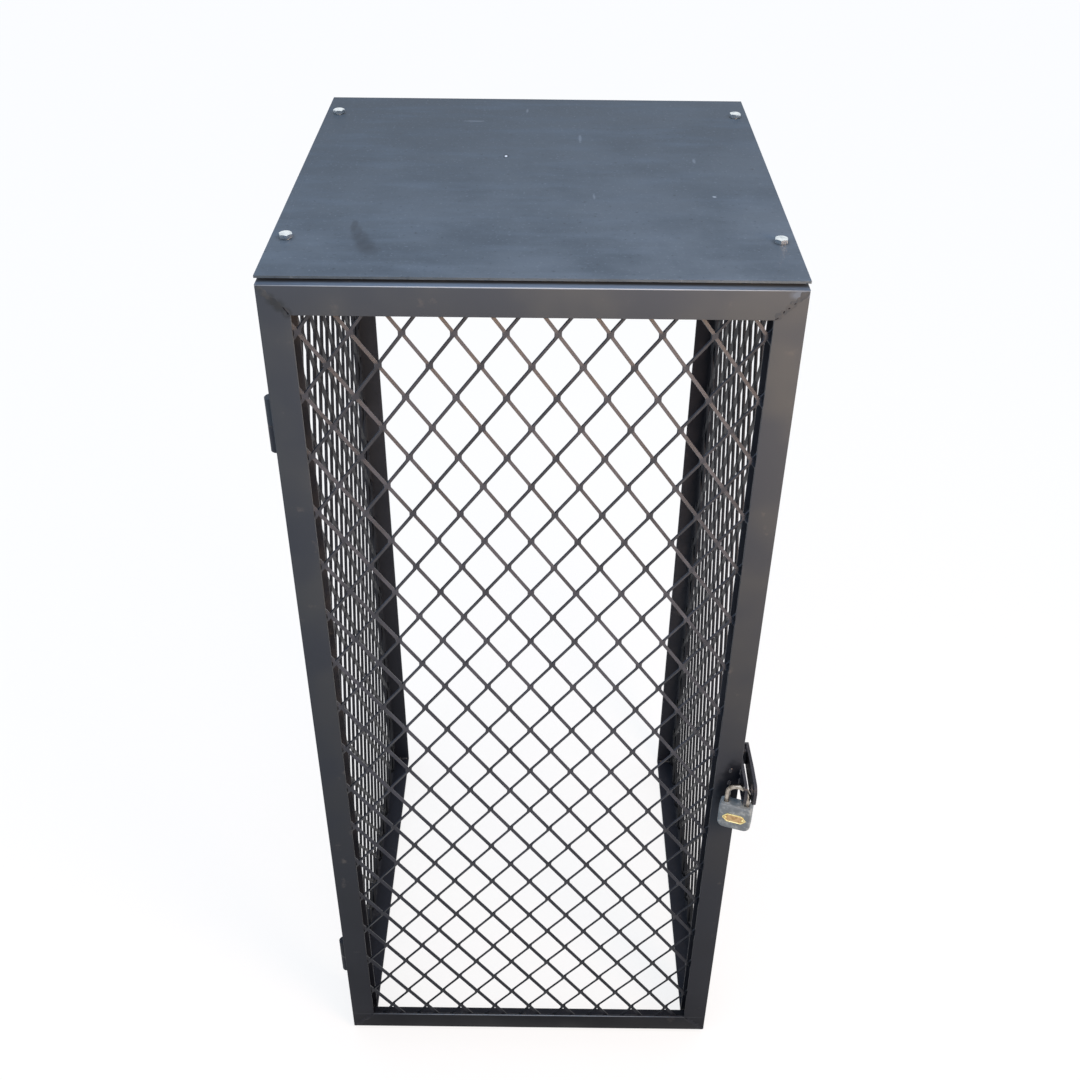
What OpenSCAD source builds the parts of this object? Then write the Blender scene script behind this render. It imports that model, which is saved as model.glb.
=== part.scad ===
// Gas cylinder cage. Two mitred side frames of angle iron carry expanded metal panels, two top
// cross rails and a bolted top plate. A mitred door frame hangs on two pin hinges at the front
// left and closes with a lug on its right stile, from which a small padlock hangs.
// The door faces -Y, +Z is up, and the origin is on the floor at the middle of the footprint.

/* [Cage] */
// Width over the side frames
cage_w = 420; // [340:5:600]
// Depth of the side frames, without the door
frame_d = 420; // [340:5:600]
// Height of the side frames, up to the underside of the top plate
frame_h = 970; // [800:5:1300]

/* [Angle bar] */
// Width of each leg of the equal angle bar
leg_w = 25; // [22:1:36]
// Thickness of the angle bar
leg_t = 3; // [2.5:0.5:4]
// Radius in the inner corner of the angle bar
root_r = 3; // [1:0.5:3.5]
// Radius on the inner edge of each toe
toe_r = 1.5; // [0.5:0.25:2]

/* [Door] */
// Gap between the door top and the top plate
door_head_gap = 3; // [2:0.5:8]
// Height of the door's lower edge above the floor
door_floor_gap = 5; // [3:1:30]
// Gap between the closed door and the side frames
door_back_gap = 1; // [0.6:0.2:3]

/* [Top plate] */
// Thickness of the top plate
plate_t = 2; // [1.5:0.5:4]
// Overhang of the plate past each side
plate_lip = 1; // [0:0.5:5]
// Reach of the plate forward of the side frames, over the door
plate_reach = 20; // [5:1:30]

/* [Bolts] */
// Diameter of the bolt shanks
bolt_d = 6; // [5:1:8]
// Shank length of the bolts
bolt_len = 16; // [14:1:30]
// Width over the flats of the bolt heads and nuts
hex_af = 10; // [9:0.5:13]
// Height of the bolt heads
bolt_head_h = 4; // [3:0.1:7]
// Height of the nuts
nut_h = 5; // [4:0.1:7]
// Clearance of the bolt holes, on the diameter
bolt_hole_play = 1; // [0.4:0.1:1.5]
// Distance of the bolts from the outer face of each side frame
bolt_side_inset = 11.5; // [11.5:0.5:14]
// Distance of the front bolts from the front of the side frames
bolt_front_inset = 53; // [40:0.5:120]
// Distance of the back bolts from the back of the side frames
bolt_back_inset = 51.5; // [40:0.5:120]

/* [Expanded metal] */
// Short way of the mesh, from knuckle to knuckle
mesh_short = 40.5; // [35:0.5:60]
// Long way of the mesh, from knuckle to knuckle
mesh_long = 57; // [45:0.5:80]
// Width of the strands, seen square on
strand_w = 3; // [2:0.25:4]
// Thickness of the sheet
mesh_t = 2; // [1:0.25:2.5]
// Distance of the panel edges inside the outer edge of their frames
mesh_inset = 8; // [7:0.5:14]
// Distance of the door's first mesh row below the top of its frame
door_row_drop = 41; // [20:0.5:60]
// Distance of the left side's first mesh row below the top of its frame
left_row_drop = 50; // [20:0.5:60]
// Distance of the right side's first mesh row below the top of its frame
right_row_drop = 21.5; // [20:0.5:60]
// Shift of both side meshes along the depth of the cage, from the middle
side_col_shift = -6.3; // [-20:0.1:20]

/* [Hinges] */
// Outer diameter of the hinge barrels
barrel_d = 10; // [9:0.5:14]
// Length of each barrel half
barrel_len = 25.5; // [20:0.5:50]
// Diameter of the hinge pins
hinge_pin_d = 6; // [4:0.5:6]
// Length of pin inside each barrel half
pin_seat = 22; // [10:1:24]
// Thickness of the washer between the barrel halves
hinge_washer_t = 1.5; // [1:0.25:3]
// Distance from the door top down to the middle of the upper hinge
upper_hinge_drop = 136.5; // [80:0.5:200]
// Distance from the door bottom up to the middle of the lower hinge
lower_hinge_rise = 106; // [80:0.5:200]

/* [Lock lugs] */
// Thickness of both lock lugs
lug_t = 3; // [2.5:0.5:4]
// Height of both lock lugs at the hole
lug_h = 26; // [26:1:36]
// Reach of both lugs forward of the door's front face
lug_reach = 30; // [28:1:32]
// Radius of the two front corners of each lug
lug_corner_r = 8; // [7:0.5:10]
// Diameter of the padlock holes in the lugs
lug_hole_d = 12; // [12:0.1:13]
// Distance of the hole's middle behind the front edge of the lug
lug_hole_setback = 12.5; // [10:0.5:13]
// Distance of the hole's middle below the top of the lug
lug_hole_drop = 12.5; // [12:0.5:16]
// Height of the hole's middle above the floor
lug_hole_height = 442.5; // [300:0.5:600]
// Room between the two lugs, which one shackle leg hangs in
lug_gap = 6.4; // [6.4:0.1:7.5]
// Height of the body lug at its rear, where it is welded to its spacer
lug_rear_h = 18; // [14:1:20]
// Length of the body lug's spacer along the post
lug_seat_len = 13; // [10:1:24]

/* [Padlock] */
// Width of the padlock case
case_w = 33; // [32:0.5:42]
// Height of the padlock case
case_h = 32.5; // [32:0.5:44]
// Thickness of the padlock case
case_t = 13.5; // [13.5:0.5:18]
// Diameter of the shackle bar
shackle_d = 5; // [4.5:0.1:5]
// Distance between the middles of the shackle legs
shackle_cc = 20.5; // [20.5:0.25:22]
// Height of the middle of the bow above the case
shackle_rise = 22.5; // [20:0.5:26]
// Turn of the hanging padlock about the upright, right side nearer
padlock_yaw = 18; // [0:1:20]
// Width of the badge
badge_w = 24; // [16:1:26]
// Height of the badge
badge_h = 11; // [8:0.5:14]
// Thickness of the badge
badge_t = 0.8; // [0.5:0.1:1.5]
// Distance between the badge rivets
rivet_cc = 17; // [9:0.5:18]
// Diameter of the rivet heads
rivet_head_d = 2.8; // [2:0.1:3.5]

/* [Lock works] */
// Diameter of the key plug
plug_d = 10; // [9:0.5:10]
// Travel of the locking dog
dog_travel = 2.5; // [2:0.1:2.6]
// Width of the locking dog
dog_w = 7; // [6.5:0.25:7.5]
// Thickness of the locking dog
dog_t = 3; // [2.5:0.25:4]
// Depth of the dog below the top of the case
dog_depth = 5.3; // [4:0.1:6]
// Depth of the dog's notch in the shackle leg
notch_depth = 1.8; // [1.5:0.1:2]
// Diameter of the drive pin on the key plug
cam_pin_d = 2; // [1.6:0.1:2]
// Wire diameter of the dog spring
spring_wire_d = 0.5; // [0.4:0.05:0.6]
// Outer diameter of the dog spring
spring_d = 3; // [2.6:0.1:3]
// Number of turns of the dog spring
spring_turns = 4; // [3:0.5:4]

/* [Hidden] */
$fn = 64;

// Clearances that mating pieces share
seat_gap = 0.3;        // between pieces that lie beside each other
pin_play = 0.05;       // radial, round a pin that turns
press_play = 0.02;     // radial, round a pin that is pressed in
end_play = 0.1;        // along the pin, above each hinge washer
nut_play = 0.05;       // radial, round a bolt in its nut
bore_play = 0.3;       // radial, round the shackle legs in the case
rivet_play = 0.05;     // radial, round the badge rivets
yoke_play = 0.2;       // between the drive pin and the sides of its slot
plug_rim_gap = 0.2;    // by which the key plug stands back from the case's lower face
spring_play = 0.2;     // radial round the dog spring, and at each of its ends
cut = 1;               // how far a cutting shape runs past a face

// Depths are measured from the front face of the door, and mid_d brings them to the origin
door_leg_d = leg_w;
frame_front = door_leg_d + door_back_gap;
frame_back = frame_front + frame_d;
plate_front = frame_front - plate_reach;
mid_d = (frame_back - lug_reach) / 2;
side_x = cage_w / 2;
door_top = frame_h - door_head_gap;
door_h = door_top - door_floor_gap;

// Hinge axis, halfway across the gap behind the door
hinge_x = -side_x - barrel_d / 2 - seat_gap;
hinge_d = door_leg_d + door_back_gap / 2;
hinge_len = 2 * barrel_len + hinge_washer_t + end_play;
upper_hinge_z = door_top - upper_hinge_drop - hinge_len / 2;
lower_hinge_z = door_floor_gap + lower_hinge_rise - hinge_len / 2;
barrel_chamfer = 0.8;
bore_end = 0.5;        // between the pin's top and the end of its bore
weld_pad_near = 2;     // nearest face of a weld pad to the hinge axis, across the gap
weld_pad_far = 4.6;
weld_pad_trim = 2;     // bare barrel above and below a weld pad

// Lock lugs and the padlock that hangs from the door's
lug_mid_x = side_x + lug_t / 2;
body_lug_x = side_x + lug_t + lug_gap;
lug_low = lug_hole_height + lug_hole_drop - lug_h;
hole_d = lug_hole_setback - lug_reach;
bow_r = shackle_cc / 2;
lug_off = bow_r - (lug_gap + lug_t) / 2 / cos(padlock_yaw);
wire_drop = bow_r - sqrt(bow_r * bow_r - lug_off * lug_off);
wire_lift = 1.7;       // bar above the hole's middle, which evens the slanting bar's clearance
lug_rear_trim = 1;     // by which the door lug stops short of the back of its stile

// Padlock case, from the middle of its top face
heel_depth = 22;       // shackle legs below the top of the case
toe_depth = 12;
case_corner_r = 5;     // seen from the front
case_edge_r = 2.5;     // seen from above
dog_top = -dog_depth;
dog_low = dog_top - dog_t;
plug_top = dog_low - seat_gap;
keyway_w = 1.6;
keyway_l = 6;
keyway_depth = 14;
cam_r = dog_travel / (2 * cos(45));
cam_start = 45;
notch_x = bow_r - shackle_d / 2 + notch_depth;
dog_tip = notch_x - seat_gap;
dog_tail = -2.1;       // back end of the dog, and of the spring's pocket behind it
spring_end = -6.7;
badge_point = 3.7;     // length of each pointed end of the badge
rivet_d = 1.6;
rivet_depth = 3;       // rivet shank inside the case
rivet_head_h = 0.7;

// Expanded metal
mesh_land = 4;         // unseen rim of each panel with no openings, welded to the flat bars
mesh_least = 5;        // openings that would show less than this are left out
spare_lines = 2;       // lattice lines counted past the edge of a panel

// L section of the angle bar: one leg along +X, one along +Y, with rolled corner and toes
module toe_leg() {
  difference() {
    square([leg_w, leg_t]);
    translate([leg_w - toe_r, leg_t - toe_r]) difference() {
      square(toe_r + cut);
      circle(r = toe_r);
    }
  }
}

module angle_section() {
  toe_leg();
  mirror([1, -1]) toe_leg();
  translate([leg_t, leg_t]) difference() {
    square(root_r);
    translate([root_r, root_r]) circle(r = root_r);
  }
}

// Bar along +X. Its flat leg lies in the XY plane, and its rim stands along +Z
module plain_bar(len) {
  rotate([90, 0, 90]) linear_extrude(len) angle_section();
}

// Bar whose two ends are mitred at 45 degrees in the XY plane
module mitred_bar(len) {
  intersection() {
    plain_bar(len);
    translate([0, 0, -cut]) linear_extrude(leg_w + 2 * cut)
      polygon([[0, 0], [len, 0], [len - leg_w - cut, leg_w + cut], [leg_w + cut, leg_w + cut]]);
  }
}

// Bars of the left side frame, turned a quarter turn each from the bottom rail
module side_bar(corner_d, corner_z, len, turns) {
  color("#4b4a4f") translate([-side_x, corner_d - mid_d, corner_z])
    rotate([90 * turns, 0, 0]) rotate([90, 0, 90]) mitred_bar(len);
}

module left_front_post() side_bar(frame_front, frame_h, frame_h, 3);
module left_back_post() side_bar(frame_back, 0, frame_h, 1);
module left_bottom_rail() side_bar(frame_front, 0, frame_d, 0);

// Top rails are drilled for the bolts that hold the top plate
module left_top_rail() {
  color("#4b4a4f") difference() {
    side_bar(frame_back, frame_h, frame_d, 2);
    bolt_holes(frame_h - leg_t, leg_t);
  }
}

module right_front_post() mirror([1, 0, 0]) left_front_post();
module right_back_post() mirror([1, 0, 0]) left_back_post();
module right_bottom_rail() mirror([1, 0, 0]) left_bottom_rail();
module right_top_rail() mirror([1, 0, 0]) left_top_rail();

// Cross rails between the toes of the side frames
cross_len = cage_w - 2 * leg_w;

module front_top_rail() {
  color("#4b4a4f") translate([-cross_len / 2, frame_front - mid_d, frame_h])
    rotate([-90, 0, 0]) plain_bar(cross_len);
}

module back_top_rail() {
  color("#4b4a4f") translate([cross_len / 2, frame_back - mid_d, frame_h])
    rotate([0, 0, 180]) rotate([-90, 0, 0]) plain_bar(cross_len);
}

// Expanded metal panel in the XY plane, centred on X, with its lower edge at the frame's.
// Diamonds stand on end, in rows half a long way apart, each shifted by half a short way.
// Openings run on under the flat legs of the frame, and slivers there are left out
function diamond(x, y, sx, sy) = [[x - sx, y], [x, y + sy], [x + sx, y], [x, y - sy]];

module mesh_panel(w, h, row_drop, col_shift) {
  half_short = mesh_short / 2;
  half_long = mesh_long / 2;
  shrink = 1 - strand_w / 2 * norm([half_short, half_long]) / (half_short * half_long);
  sx = half_short * shrink;
  sy = half_long * shrink;
  open_x = w / 2 - leg_w;
  under = leg_w - mesh_inset - mesh_land;
  rows = ceil((h - 2 * leg_w) / half_long) + spare_lines;
  cols = ceil((open_x + abs(col_shift)) / half_short) + spare_lines;
  linear_extrude(mesh_t) difference() {
    translate([-w / 2 + mesh_inset, mesh_inset]) square([w - 2 * mesh_inset, h - 2 * mesh_inset]);
    intersection() {
      translate([-open_x - under, leg_w - under])
        square([2 * (open_x + under), h - 2 * (leg_w - under)]);
      for (r = [-spare_lines:rows], c = [-cols:cols]) {
        x = col_shift + c * half_short;
        y = h - row_drop - r * half_long;
        on_lattice = (r + c) % 2 == 0;
        shows_x = abs(x) - sx < open_x - mesh_least;
        shows_y = y - sy < h - leg_w - mesh_least && y + sy > leg_w + mesh_least;
        if (on_lattice && shows_x && shows_y) polygon(diamond(x, y, sx, sy));
      }
    }
  }
}

module side_mesh(row_drop) {
  color("#3c3a38") translate([-side_x + leg_t, frame_front + frame_d / 2 - mid_d, 0])
    rotate([90, 0, 90]) mesh_panel(frame_d, frame_h, row_drop, side_col_shift);
}

module left_mesh() side_mesh(left_row_drop);
module right_mesh() mirror([1, 0, 0]) side_mesh(right_row_drop);

module door_mesh() {
  color("#3c3a38") translate([0, leg_t + mesh_t - mid_d, door_floor_gap])
    rotate([90, 0, 0]) mesh_panel(cage_w, door_h, door_row_drop, 0);
}

module at_bolts() {
  for (y = [frame_front + bolt_front_inset, frame_back - bolt_back_inset], s = [-1, 1])
    translate([s * (side_x - bolt_side_inset), y - mid_d, 0]) children();
}

// Holes for the bolts, through a sheet of thickness t whose lower face is at height z
module bolt_holes(z, t) {
  at_bolts() translate([0, 0, z - cut]) cylinder(d = bolt_d + bolt_hole_play, h = t + 2 * cut);
}

module top_plate() {
  color("#5d6772") difference() {
    translate([-side_x - plate_lip, plate_front - mid_d, frame_h])
      cube([cage_w + 2 * plate_lip, frame_back - plate_front, plate_t]);
    bolt_holes(frame_h, plate_t);
  }
}

// Hexagon with two flats facing the side frames
module hexagon(h) cylinder(d = hex_af / cos(30), h = h, $fn = 6);

module top_bolts() {
  color("#d8e0e4") at_bolts() {
    translate([0, 0, frame_h + plate_t]) rotate([0, 0, 30]) hexagon(bolt_head_h);
    translate([0, 0, frame_h + plate_t - bolt_len]) cylinder(d = bolt_d, h = bolt_len + cut);
  }
}

module top_nuts() {
  color("#d8e0e4") at_bolts() translate([0, 0, frame_h - leg_t - nut_h]) difference() {
    rotate([0, 0, 30]) hexagon(nut_h);
    translate([0, 0, -cut]) cylinder(r = bolt_d / 2 + nut_play, h = nut_h + 2 * cut);
  }
}

// Barrel half, open end at z = 0, with its blind bore below and a weld pad on one side
module barrel_half(bore_r, pad_side) {
  r = barrel_d / 2;
  rotate_extrude() polygon([
    [bore_r, 0], [r, 0], [r, -barrel_len + barrel_chamfer],
    [r - barrel_chamfer, -barrel_len], [0, -barrel_len], [0, -pin_seat], [bore_r, -pin_seat]
  ]);
  pad_x = sqrt(pow(r - barrel_chamfer, 2) - pow(weld_pad_near, 2));
  pad_w = weld_pad_far - weld_pad_near;
  translate([pad_x, pad_side > 0 ? weld_pad_near : -weld_pad_far, weld_pad_trim - barrel_len])
    cube([r + seat_gap - pad_x, pad_w, barrel_len - 2 * weld_pad_trim]);
}

module at_hinge(z) translate([hinge_x, hinge_d - mid_d, z]) children();

module body_barrel(z) {
  color("#34343a") at_hinge(z + barrel_len) barrel_half(hinge_pin_d / 2 + press_play, 1);
}

module hinge_pin(z) {
  color("#9aa0a6") at_hinge(z + barrel_len - pin_seat)
    cylinder(d = hinge_pin_d, h = 2 * pin_seat + hinge_washer_t + end_play - bore_end);
}

module hinge_washer(z) {
  color("#34343a") at_hinge(z + barrel_len) difference() {
    cylinder(d = barrel_d, h = hinge_washer_t);
    translate([0, 0, -cut]) cylinder(r = hinge_pin_d / 2 + pin_play, h = hinge_washer_t + 2 * cut);
  }
}

module door_barrel(z) {
  color("#34343a") at_hinge(z + barrel_len + hinge_washer_t + end_play)
    mirror([0, 0, 1]) barrel_half(hinge_pin_d / 2 + pin_play, -1);
}

// Door frame bars, turned a quarter turn each from the bottom rail
module door_bar(corner_x, corner_z, len, turns) {
  color("#55565c") translate([corner_x, -mid_d, corner_z])
    rotate([0, 90 * turns, 0]) rotate([90, 0, 180]) mitred_bar(len);
}

module door_bottom_rail() door_bar(side_x, door_floor_gap, cage_w, 0);
module door_hinge_stile() door_bar(-side_x, door_floor_gap, door_h, 1);
module door_top_rail() door_bar(-side_x, door_top, cage_w, 2);
module door_lock_stile() door_bar(side_x, door_top, door_h, 3);

// Lug plate across X, from rear_d to the common front edge, with rounded front corners. Behind
// the door's front face it tapers to rear_h
module lug_plate(x, rear_d, rear_h) {
  r = lug_corner_r;
  taper = (lug_h - rear_h) / 2;
  translate([x, 0, 0]) rotate([90, 0, 90]) linear_extrude(lug_t) difference() {
    translate([-lug_reach - mid_d, lug_low]) {
      translate([r, 0]) square([lug_reach - r, lug_h]);
      translate([0, r]) square([lug_reach, lug_h - 2 * r]);
      for (z = [r, lug_h - r]) translate([r, z]) circle(r = r);
      translate([lug_reach, 0]) polygon([
        [-cut, 0], [0, 0], [rear_d, taper], [rear_d, lug_h - taper], [0, lug_h], [-cut, lug_h]
      ]);
    }
    translate([hole_d - mid_d, lug_hole_height]) circle(d = lug_hole_d);
  }
}

module door_lock_lug() {
  color("#34343a") lug_plate(side_x, door_leg_d - lug_rear_trim, lug_h);
}

module body_lock_lug() {
  color("#34343a") lug_plate(body_lug_x, frame_front + lug_seat_len, lug_rear_h);
}

module body_lug_spacer() {
  color("#34343a")
    translate([side_x, frame_front - mid_d, lug_low + (lug_h - lug_rear_h) / 2])
      cube([lug_t + lug_gap, lug_seat_len, lug_rear_h]);
}

// Padlock places: at the middle of the bow's bar, and at the middle of the case's top face.
// The bow's middle is level with the lug's hole from front to back, so the padlock hangs plumb.
module at_bow() {
  bow_x = lug_mid_x - lug_off * cos(padlock_yaw);
  translate([bow_x, hole_d - mid_d, lug_hole_height + wire_lift + wire_drop])
    rotate([0, 0, -padlock_yaw]) children();
}

module at_case() at_bow() translate([0, 0, -shackle_rise]) children();

module padlock_shackle() {
  straight = shackle_rise - bow_r;
  color("#c9cdd0") at_case() difference() {
    union() {
      translate([0, 0, straight]) rotate([90, 0, 0])
        rotate_extrude(angle = 180) translate([bow_r, 0]) circle(d = shackle_d);
      translate([-bow_r, 0, -heel_depth]) cylinder(d = shackle_d, h = heel_depth + straight);
      translate([bow_r, 0, -toe_depth]) cylinder(d = shackle_d, h = toe_depth + straight);
    }
    translate([notch_x - shackle_d, -shackle_d, dog_low - seat_gap])
      cube([shackle_d, 2 * shackle_d, dog_t + 2 * seat_gap]);
  }
}

// Rectangle with round corners, centred on X and hanging down from y = 0
module round_rect(w, h, r) {
  translate([-w / 2 + r, -h]) square([w - 2 * r, h]);
  translate([-w / 2, -h + r]) square([w, h - 2 * r]);
  for (x = [r - w / 2, w / 2 - r], y = [-r, r - h]) translate([x, y]) circle(r = r);
}

module case_block() {
  intersection() {
    translate([0, case_t / 2, 0]) rotate([90, 0, 0]) linear_extrude(case_t)
      round_rect(case_w, case_h, case_corner_r);
    translate([0, case_t / 2, -case_h]) linear_extrude(case_h)
      round_rect(case_w, case_t, case_edge_r);
  }
}

module padlock_case() {
  leg_bore_r = shackle_d / 2 + bore_play;
  channel_w = dog_w + 2 * seat_gap;
  color("#6f818c") at_case() difference() {
    case_block();
    translate([-bow_r, 0, -heel_depth - bore_play])
      cylinder(r = leg_bore_r, h = heel_depth + bore_play + cut);
    translate([bow_r, 0, -toe_depth - bore_play])
      cylinder(r = leg_bore_r, h = toe_depth + bore_play + cut);
    translate([dog_tail - dog_travel - seat_gap, -channel_w / 2, plug_top])
      cube([bow_r - dog_tail + dog_travel + seat_gap, channel_w, dog_t + 2 * seat_gap]);
    translate([spring_end, 0, dog_low + dog_t / 2]) rotate([0, 90, 0])
      cylinder(r = spring_d / 2 + spring_play, h = dog_tail - spring_end);
    translate([0, 0, -case_h - cut]) cylinder(r = plug_d / 2 + pin_play, h = case_h + plug_top + cut);
    for (s = [-1, 1]) translate([s * rivet_cc / 2, 0, -case_h / 2]) rotate([90, 0, 0])
      translate([0, 0, case_t / 2 - rivet_depth])
        cylinder(r = rivet_d / 2 + rivet_play, h = rivet_depth + cut);
  }
}

// Blank badge with pointed ends, on the front of the case
module padlock_badge() {
  color("#c8a24a") at_case() translate([0, -case_t / 2, -case_h / 2]) rotate([90, 0, 0])
    difference() {
      linear_extrude(badge_t) polygon([
        [-badge_w / 2, 0], [badge_point - badge_w / 2, badge_h / 2], [badge_w / 2 - badge_point, badge_h / 2],
        [badge_w / 2, 0], [badge_w / 2 - badge_point, -badge_h / 2], [badge_point - badge_w / 2, -badge_h / 2]
      ]);
      for (s = [-1, 1]) translate([s * rivet_cc / 2, 0, -cut])
        cylinder(r = rivet_d / 2 + rivet_play, h = badge_t + 2 * cut);
    }
}

module padlock_rivets() {
  r = rivet_head_d / 2;
  dome_r = (r * r + rivet_head_h * rivet_head_h) / (2 * rivet_head_h);
  color("#d8b765") at_case()
    for (s = [-1, 1]) translate([s * rivet_cc / 2, -case_t / 2 - badge_t, -case_h / 2])
      rotate([90, 0, 0]) {
        intersection() {
          translate([0, 0, rivet_head_h - dome_r]) sphere(r = dome_r);
          cylinder(r = r, h = rivet_head_h + cut);
        }
        translate([0, 0, -badge_t - rivet_depth]) cylinder(d = rivet_d, h = rivet_depth + badge_t);
      }
}

module padlock_key_plug() {
  plug_low = plug_rim_gap - case_h;
  color("#b8923f") at_case() {
    difference() {
      translate([0, 0, plug_low]) cylinder(d = plug_d, h = plug_top - seat_gap - plug_low);
      translate([-keyway_w / 2, -keyway_l / 2, plug_low - cut])
        cube([keyway_w, keyway_l, keyway_depth + cut]);
    }
    rotate([0, 0, cam_start]) translate([cam_r, 0, plug_top - seat_gap - cut])
      cylinder(d = cam_pin_d, h = dog_t + cut);
  }
}

module padlock_dog() {
  yoke_w = cam_pin_d + 2 * yoke_play;
  cam_x = cam_r * cos(cam_start);
  cam_y = cam_r * sin(cam_start);
  yoke_l = cam_r - cam_y + yoke_w;
  color("#9aa0a6") at_case() difference() {
    translate([dog_tail, -dog_w / 2, dog_low]) cube([dog_tip - dog_tail, dog_w, dog_t]);
    translate([cam_x - yoke_w / 2, cam_y - yoke_w / 2, dog_low - cut])
      cube([yoke_w, yoke_l, dog_t + 2 * cut]);
  }
}

// Compression spring behind the dog: a six-sided wire swept along a helix
spring_steps = 16;     // rings in each turn
wire_sides = 6;

function helix_point(a, len, r) = [len * a / (360 * spring_turns), r * cos(a), r * sin(a)];

function wire_ring(a, len, r) = [
  for (k = [0:wire_sides - 1])
    let (b = 360 * k / wire_sides, w = spring_wire_d / 2)
      helix_point(a, len, r) + [w * sin(b), w * cos(b) * cos(a), w * cos(b) * sin(a)]
];

module padlock_dog_spring() {
  rings = spring_turns * spring_steps;
  len = dog_tail - spring_end - spring_wire_d - 2 * spring_play;
  r = (spring_d - spring_wire_d) / 2;
  points = [for (i = [0:rings]) each wire_ring(360 * i / spring_steps, len, r)];
  sides = [
    for (i = [0:rings - 1], k = [0:wire_sides - 1])
      let (n = (k + 1) % wire_sides, a = i * wire_sides, b = a + wire_sides)
        each [[a + k, b + k, b + n], [a + k, b + n, a + n]]
  ];
  last = rings * wire_sides;
  caps = [
    for (k = [1:wire_sides - 2]) each [[0, k, k + 1], [last, last + k + 1, last + k]]
  ];
  color("#c9cdd0") at_case()
    translate([spring_end + spring_wire_d / 2 + spring_play, 0, dog_low + dog_t / 2])
      polyhedron(points = points, faces = concat(sides, caps));
}

left_front_post();
left_back_post();
left_top_rail();
left_bottom_rail();
right_front_post();
right_back_post();
right_top_rail();
right_bottom_rail();
front_top_rail();
back_top_rail();
left_mesh();
right_mesh();
top_plate();
top_bolts();
top_nuts();
body_barrel(upper_hinge_z);  // upper_hinge_body_barrel
body_barrel(lower_hinge_z);  // lower_hinge_body_barrel
hinge_pin(upper_hinge_z);  // upper_hinge_pin
hinge_pin(lower_hinge_z);  // lower_hinge_pin
hinge_washer(upper_hinge_z);  // upper_hinge_washer
hinge_washer(lower_hinge_z);  // lower_hinge_washer
door_barrel(upper_hinge_z);  // upper_hinge_door_barrel
door_barrel(lower_hinge_z);  // lower_hinge_door_barrel
body_lock_lug();
body_lug_spacer();
door_top_rail();
door_bottom_rail();
door_hinge_stile();
door_lock_stile();
door_mesh();
door_lock_lug();
padlock_shackle();
padlock_case();
padlock_badge();
padlock_rivets();
padlock_key_plug();
padlock_dog();
padlock_dog_spring();
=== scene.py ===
"""Looks of the gas cylinder cage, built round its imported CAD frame.

The cage is welded from mitred angle iron and raised expanded metal, sprayed with satin charcoal
enamel. Its top sheet is bolted on, its door hangs on two turned hinges, and a small padlock
hangs from the door's lug. Sizes are in millimetres in the classes, and in metres in the meshes.
"""

import logging
import math
from dataclasses import dataclass, field
from enum import Enum
from typing import Any, Iterable, Protocol, Sequence

import bmesh
import bpy
import numpy as np
from mathutils import Matrix, Vector


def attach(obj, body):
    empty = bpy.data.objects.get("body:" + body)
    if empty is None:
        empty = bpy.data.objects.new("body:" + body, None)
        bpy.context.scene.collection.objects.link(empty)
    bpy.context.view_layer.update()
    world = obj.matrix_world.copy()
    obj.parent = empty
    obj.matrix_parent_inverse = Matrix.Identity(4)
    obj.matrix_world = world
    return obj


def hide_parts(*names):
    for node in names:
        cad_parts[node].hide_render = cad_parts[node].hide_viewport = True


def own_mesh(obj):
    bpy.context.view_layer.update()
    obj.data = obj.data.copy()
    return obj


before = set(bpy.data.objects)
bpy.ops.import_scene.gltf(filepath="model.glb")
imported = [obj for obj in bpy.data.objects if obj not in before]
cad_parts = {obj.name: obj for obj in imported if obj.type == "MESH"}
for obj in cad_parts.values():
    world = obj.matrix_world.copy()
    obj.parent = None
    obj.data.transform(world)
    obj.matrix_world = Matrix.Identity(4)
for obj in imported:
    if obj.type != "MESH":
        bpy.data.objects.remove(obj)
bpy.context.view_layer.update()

log = logging.getLogger("cage")
MM = 0.001
Point = tuple[float, float, float]
Pair = tuple[float, float]
Tree = bpy.types.NodeTree
Socket = bpy.types.NodeSocket


class Body(Enum):
    """The moving bodies of the cage."""

    CAGE = "cage_body"
    DOOR = "door"
    PADLOCK = "padlock"


class Slot(Enum):
    """The record's material slots that the new pieces belong to."""

    FRAME = "frame_paint"
    MESH = "mesh_paint"
    ZINC = "zinc_plate"
    CASE = "case_enamel"
    BRASS = "brass"
    STEEL = "bright_steel"


class Side(Enum):
    """A side of the cage, by the sign of its X."""

    LEFT = -1
    RIGHT = 1

    def mirror(self) -> Matrix:
        """Return the matrix that takes a piece of the left side to this side."""
        return Matrix.Scale(-self.value, 4, Vector((1, 0, 0)))


class Fastener(Enum):
    """What holds the top sheet at a corner."""

    BOLT = "bolt"
    NUT = "nut"


# Meshes


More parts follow.
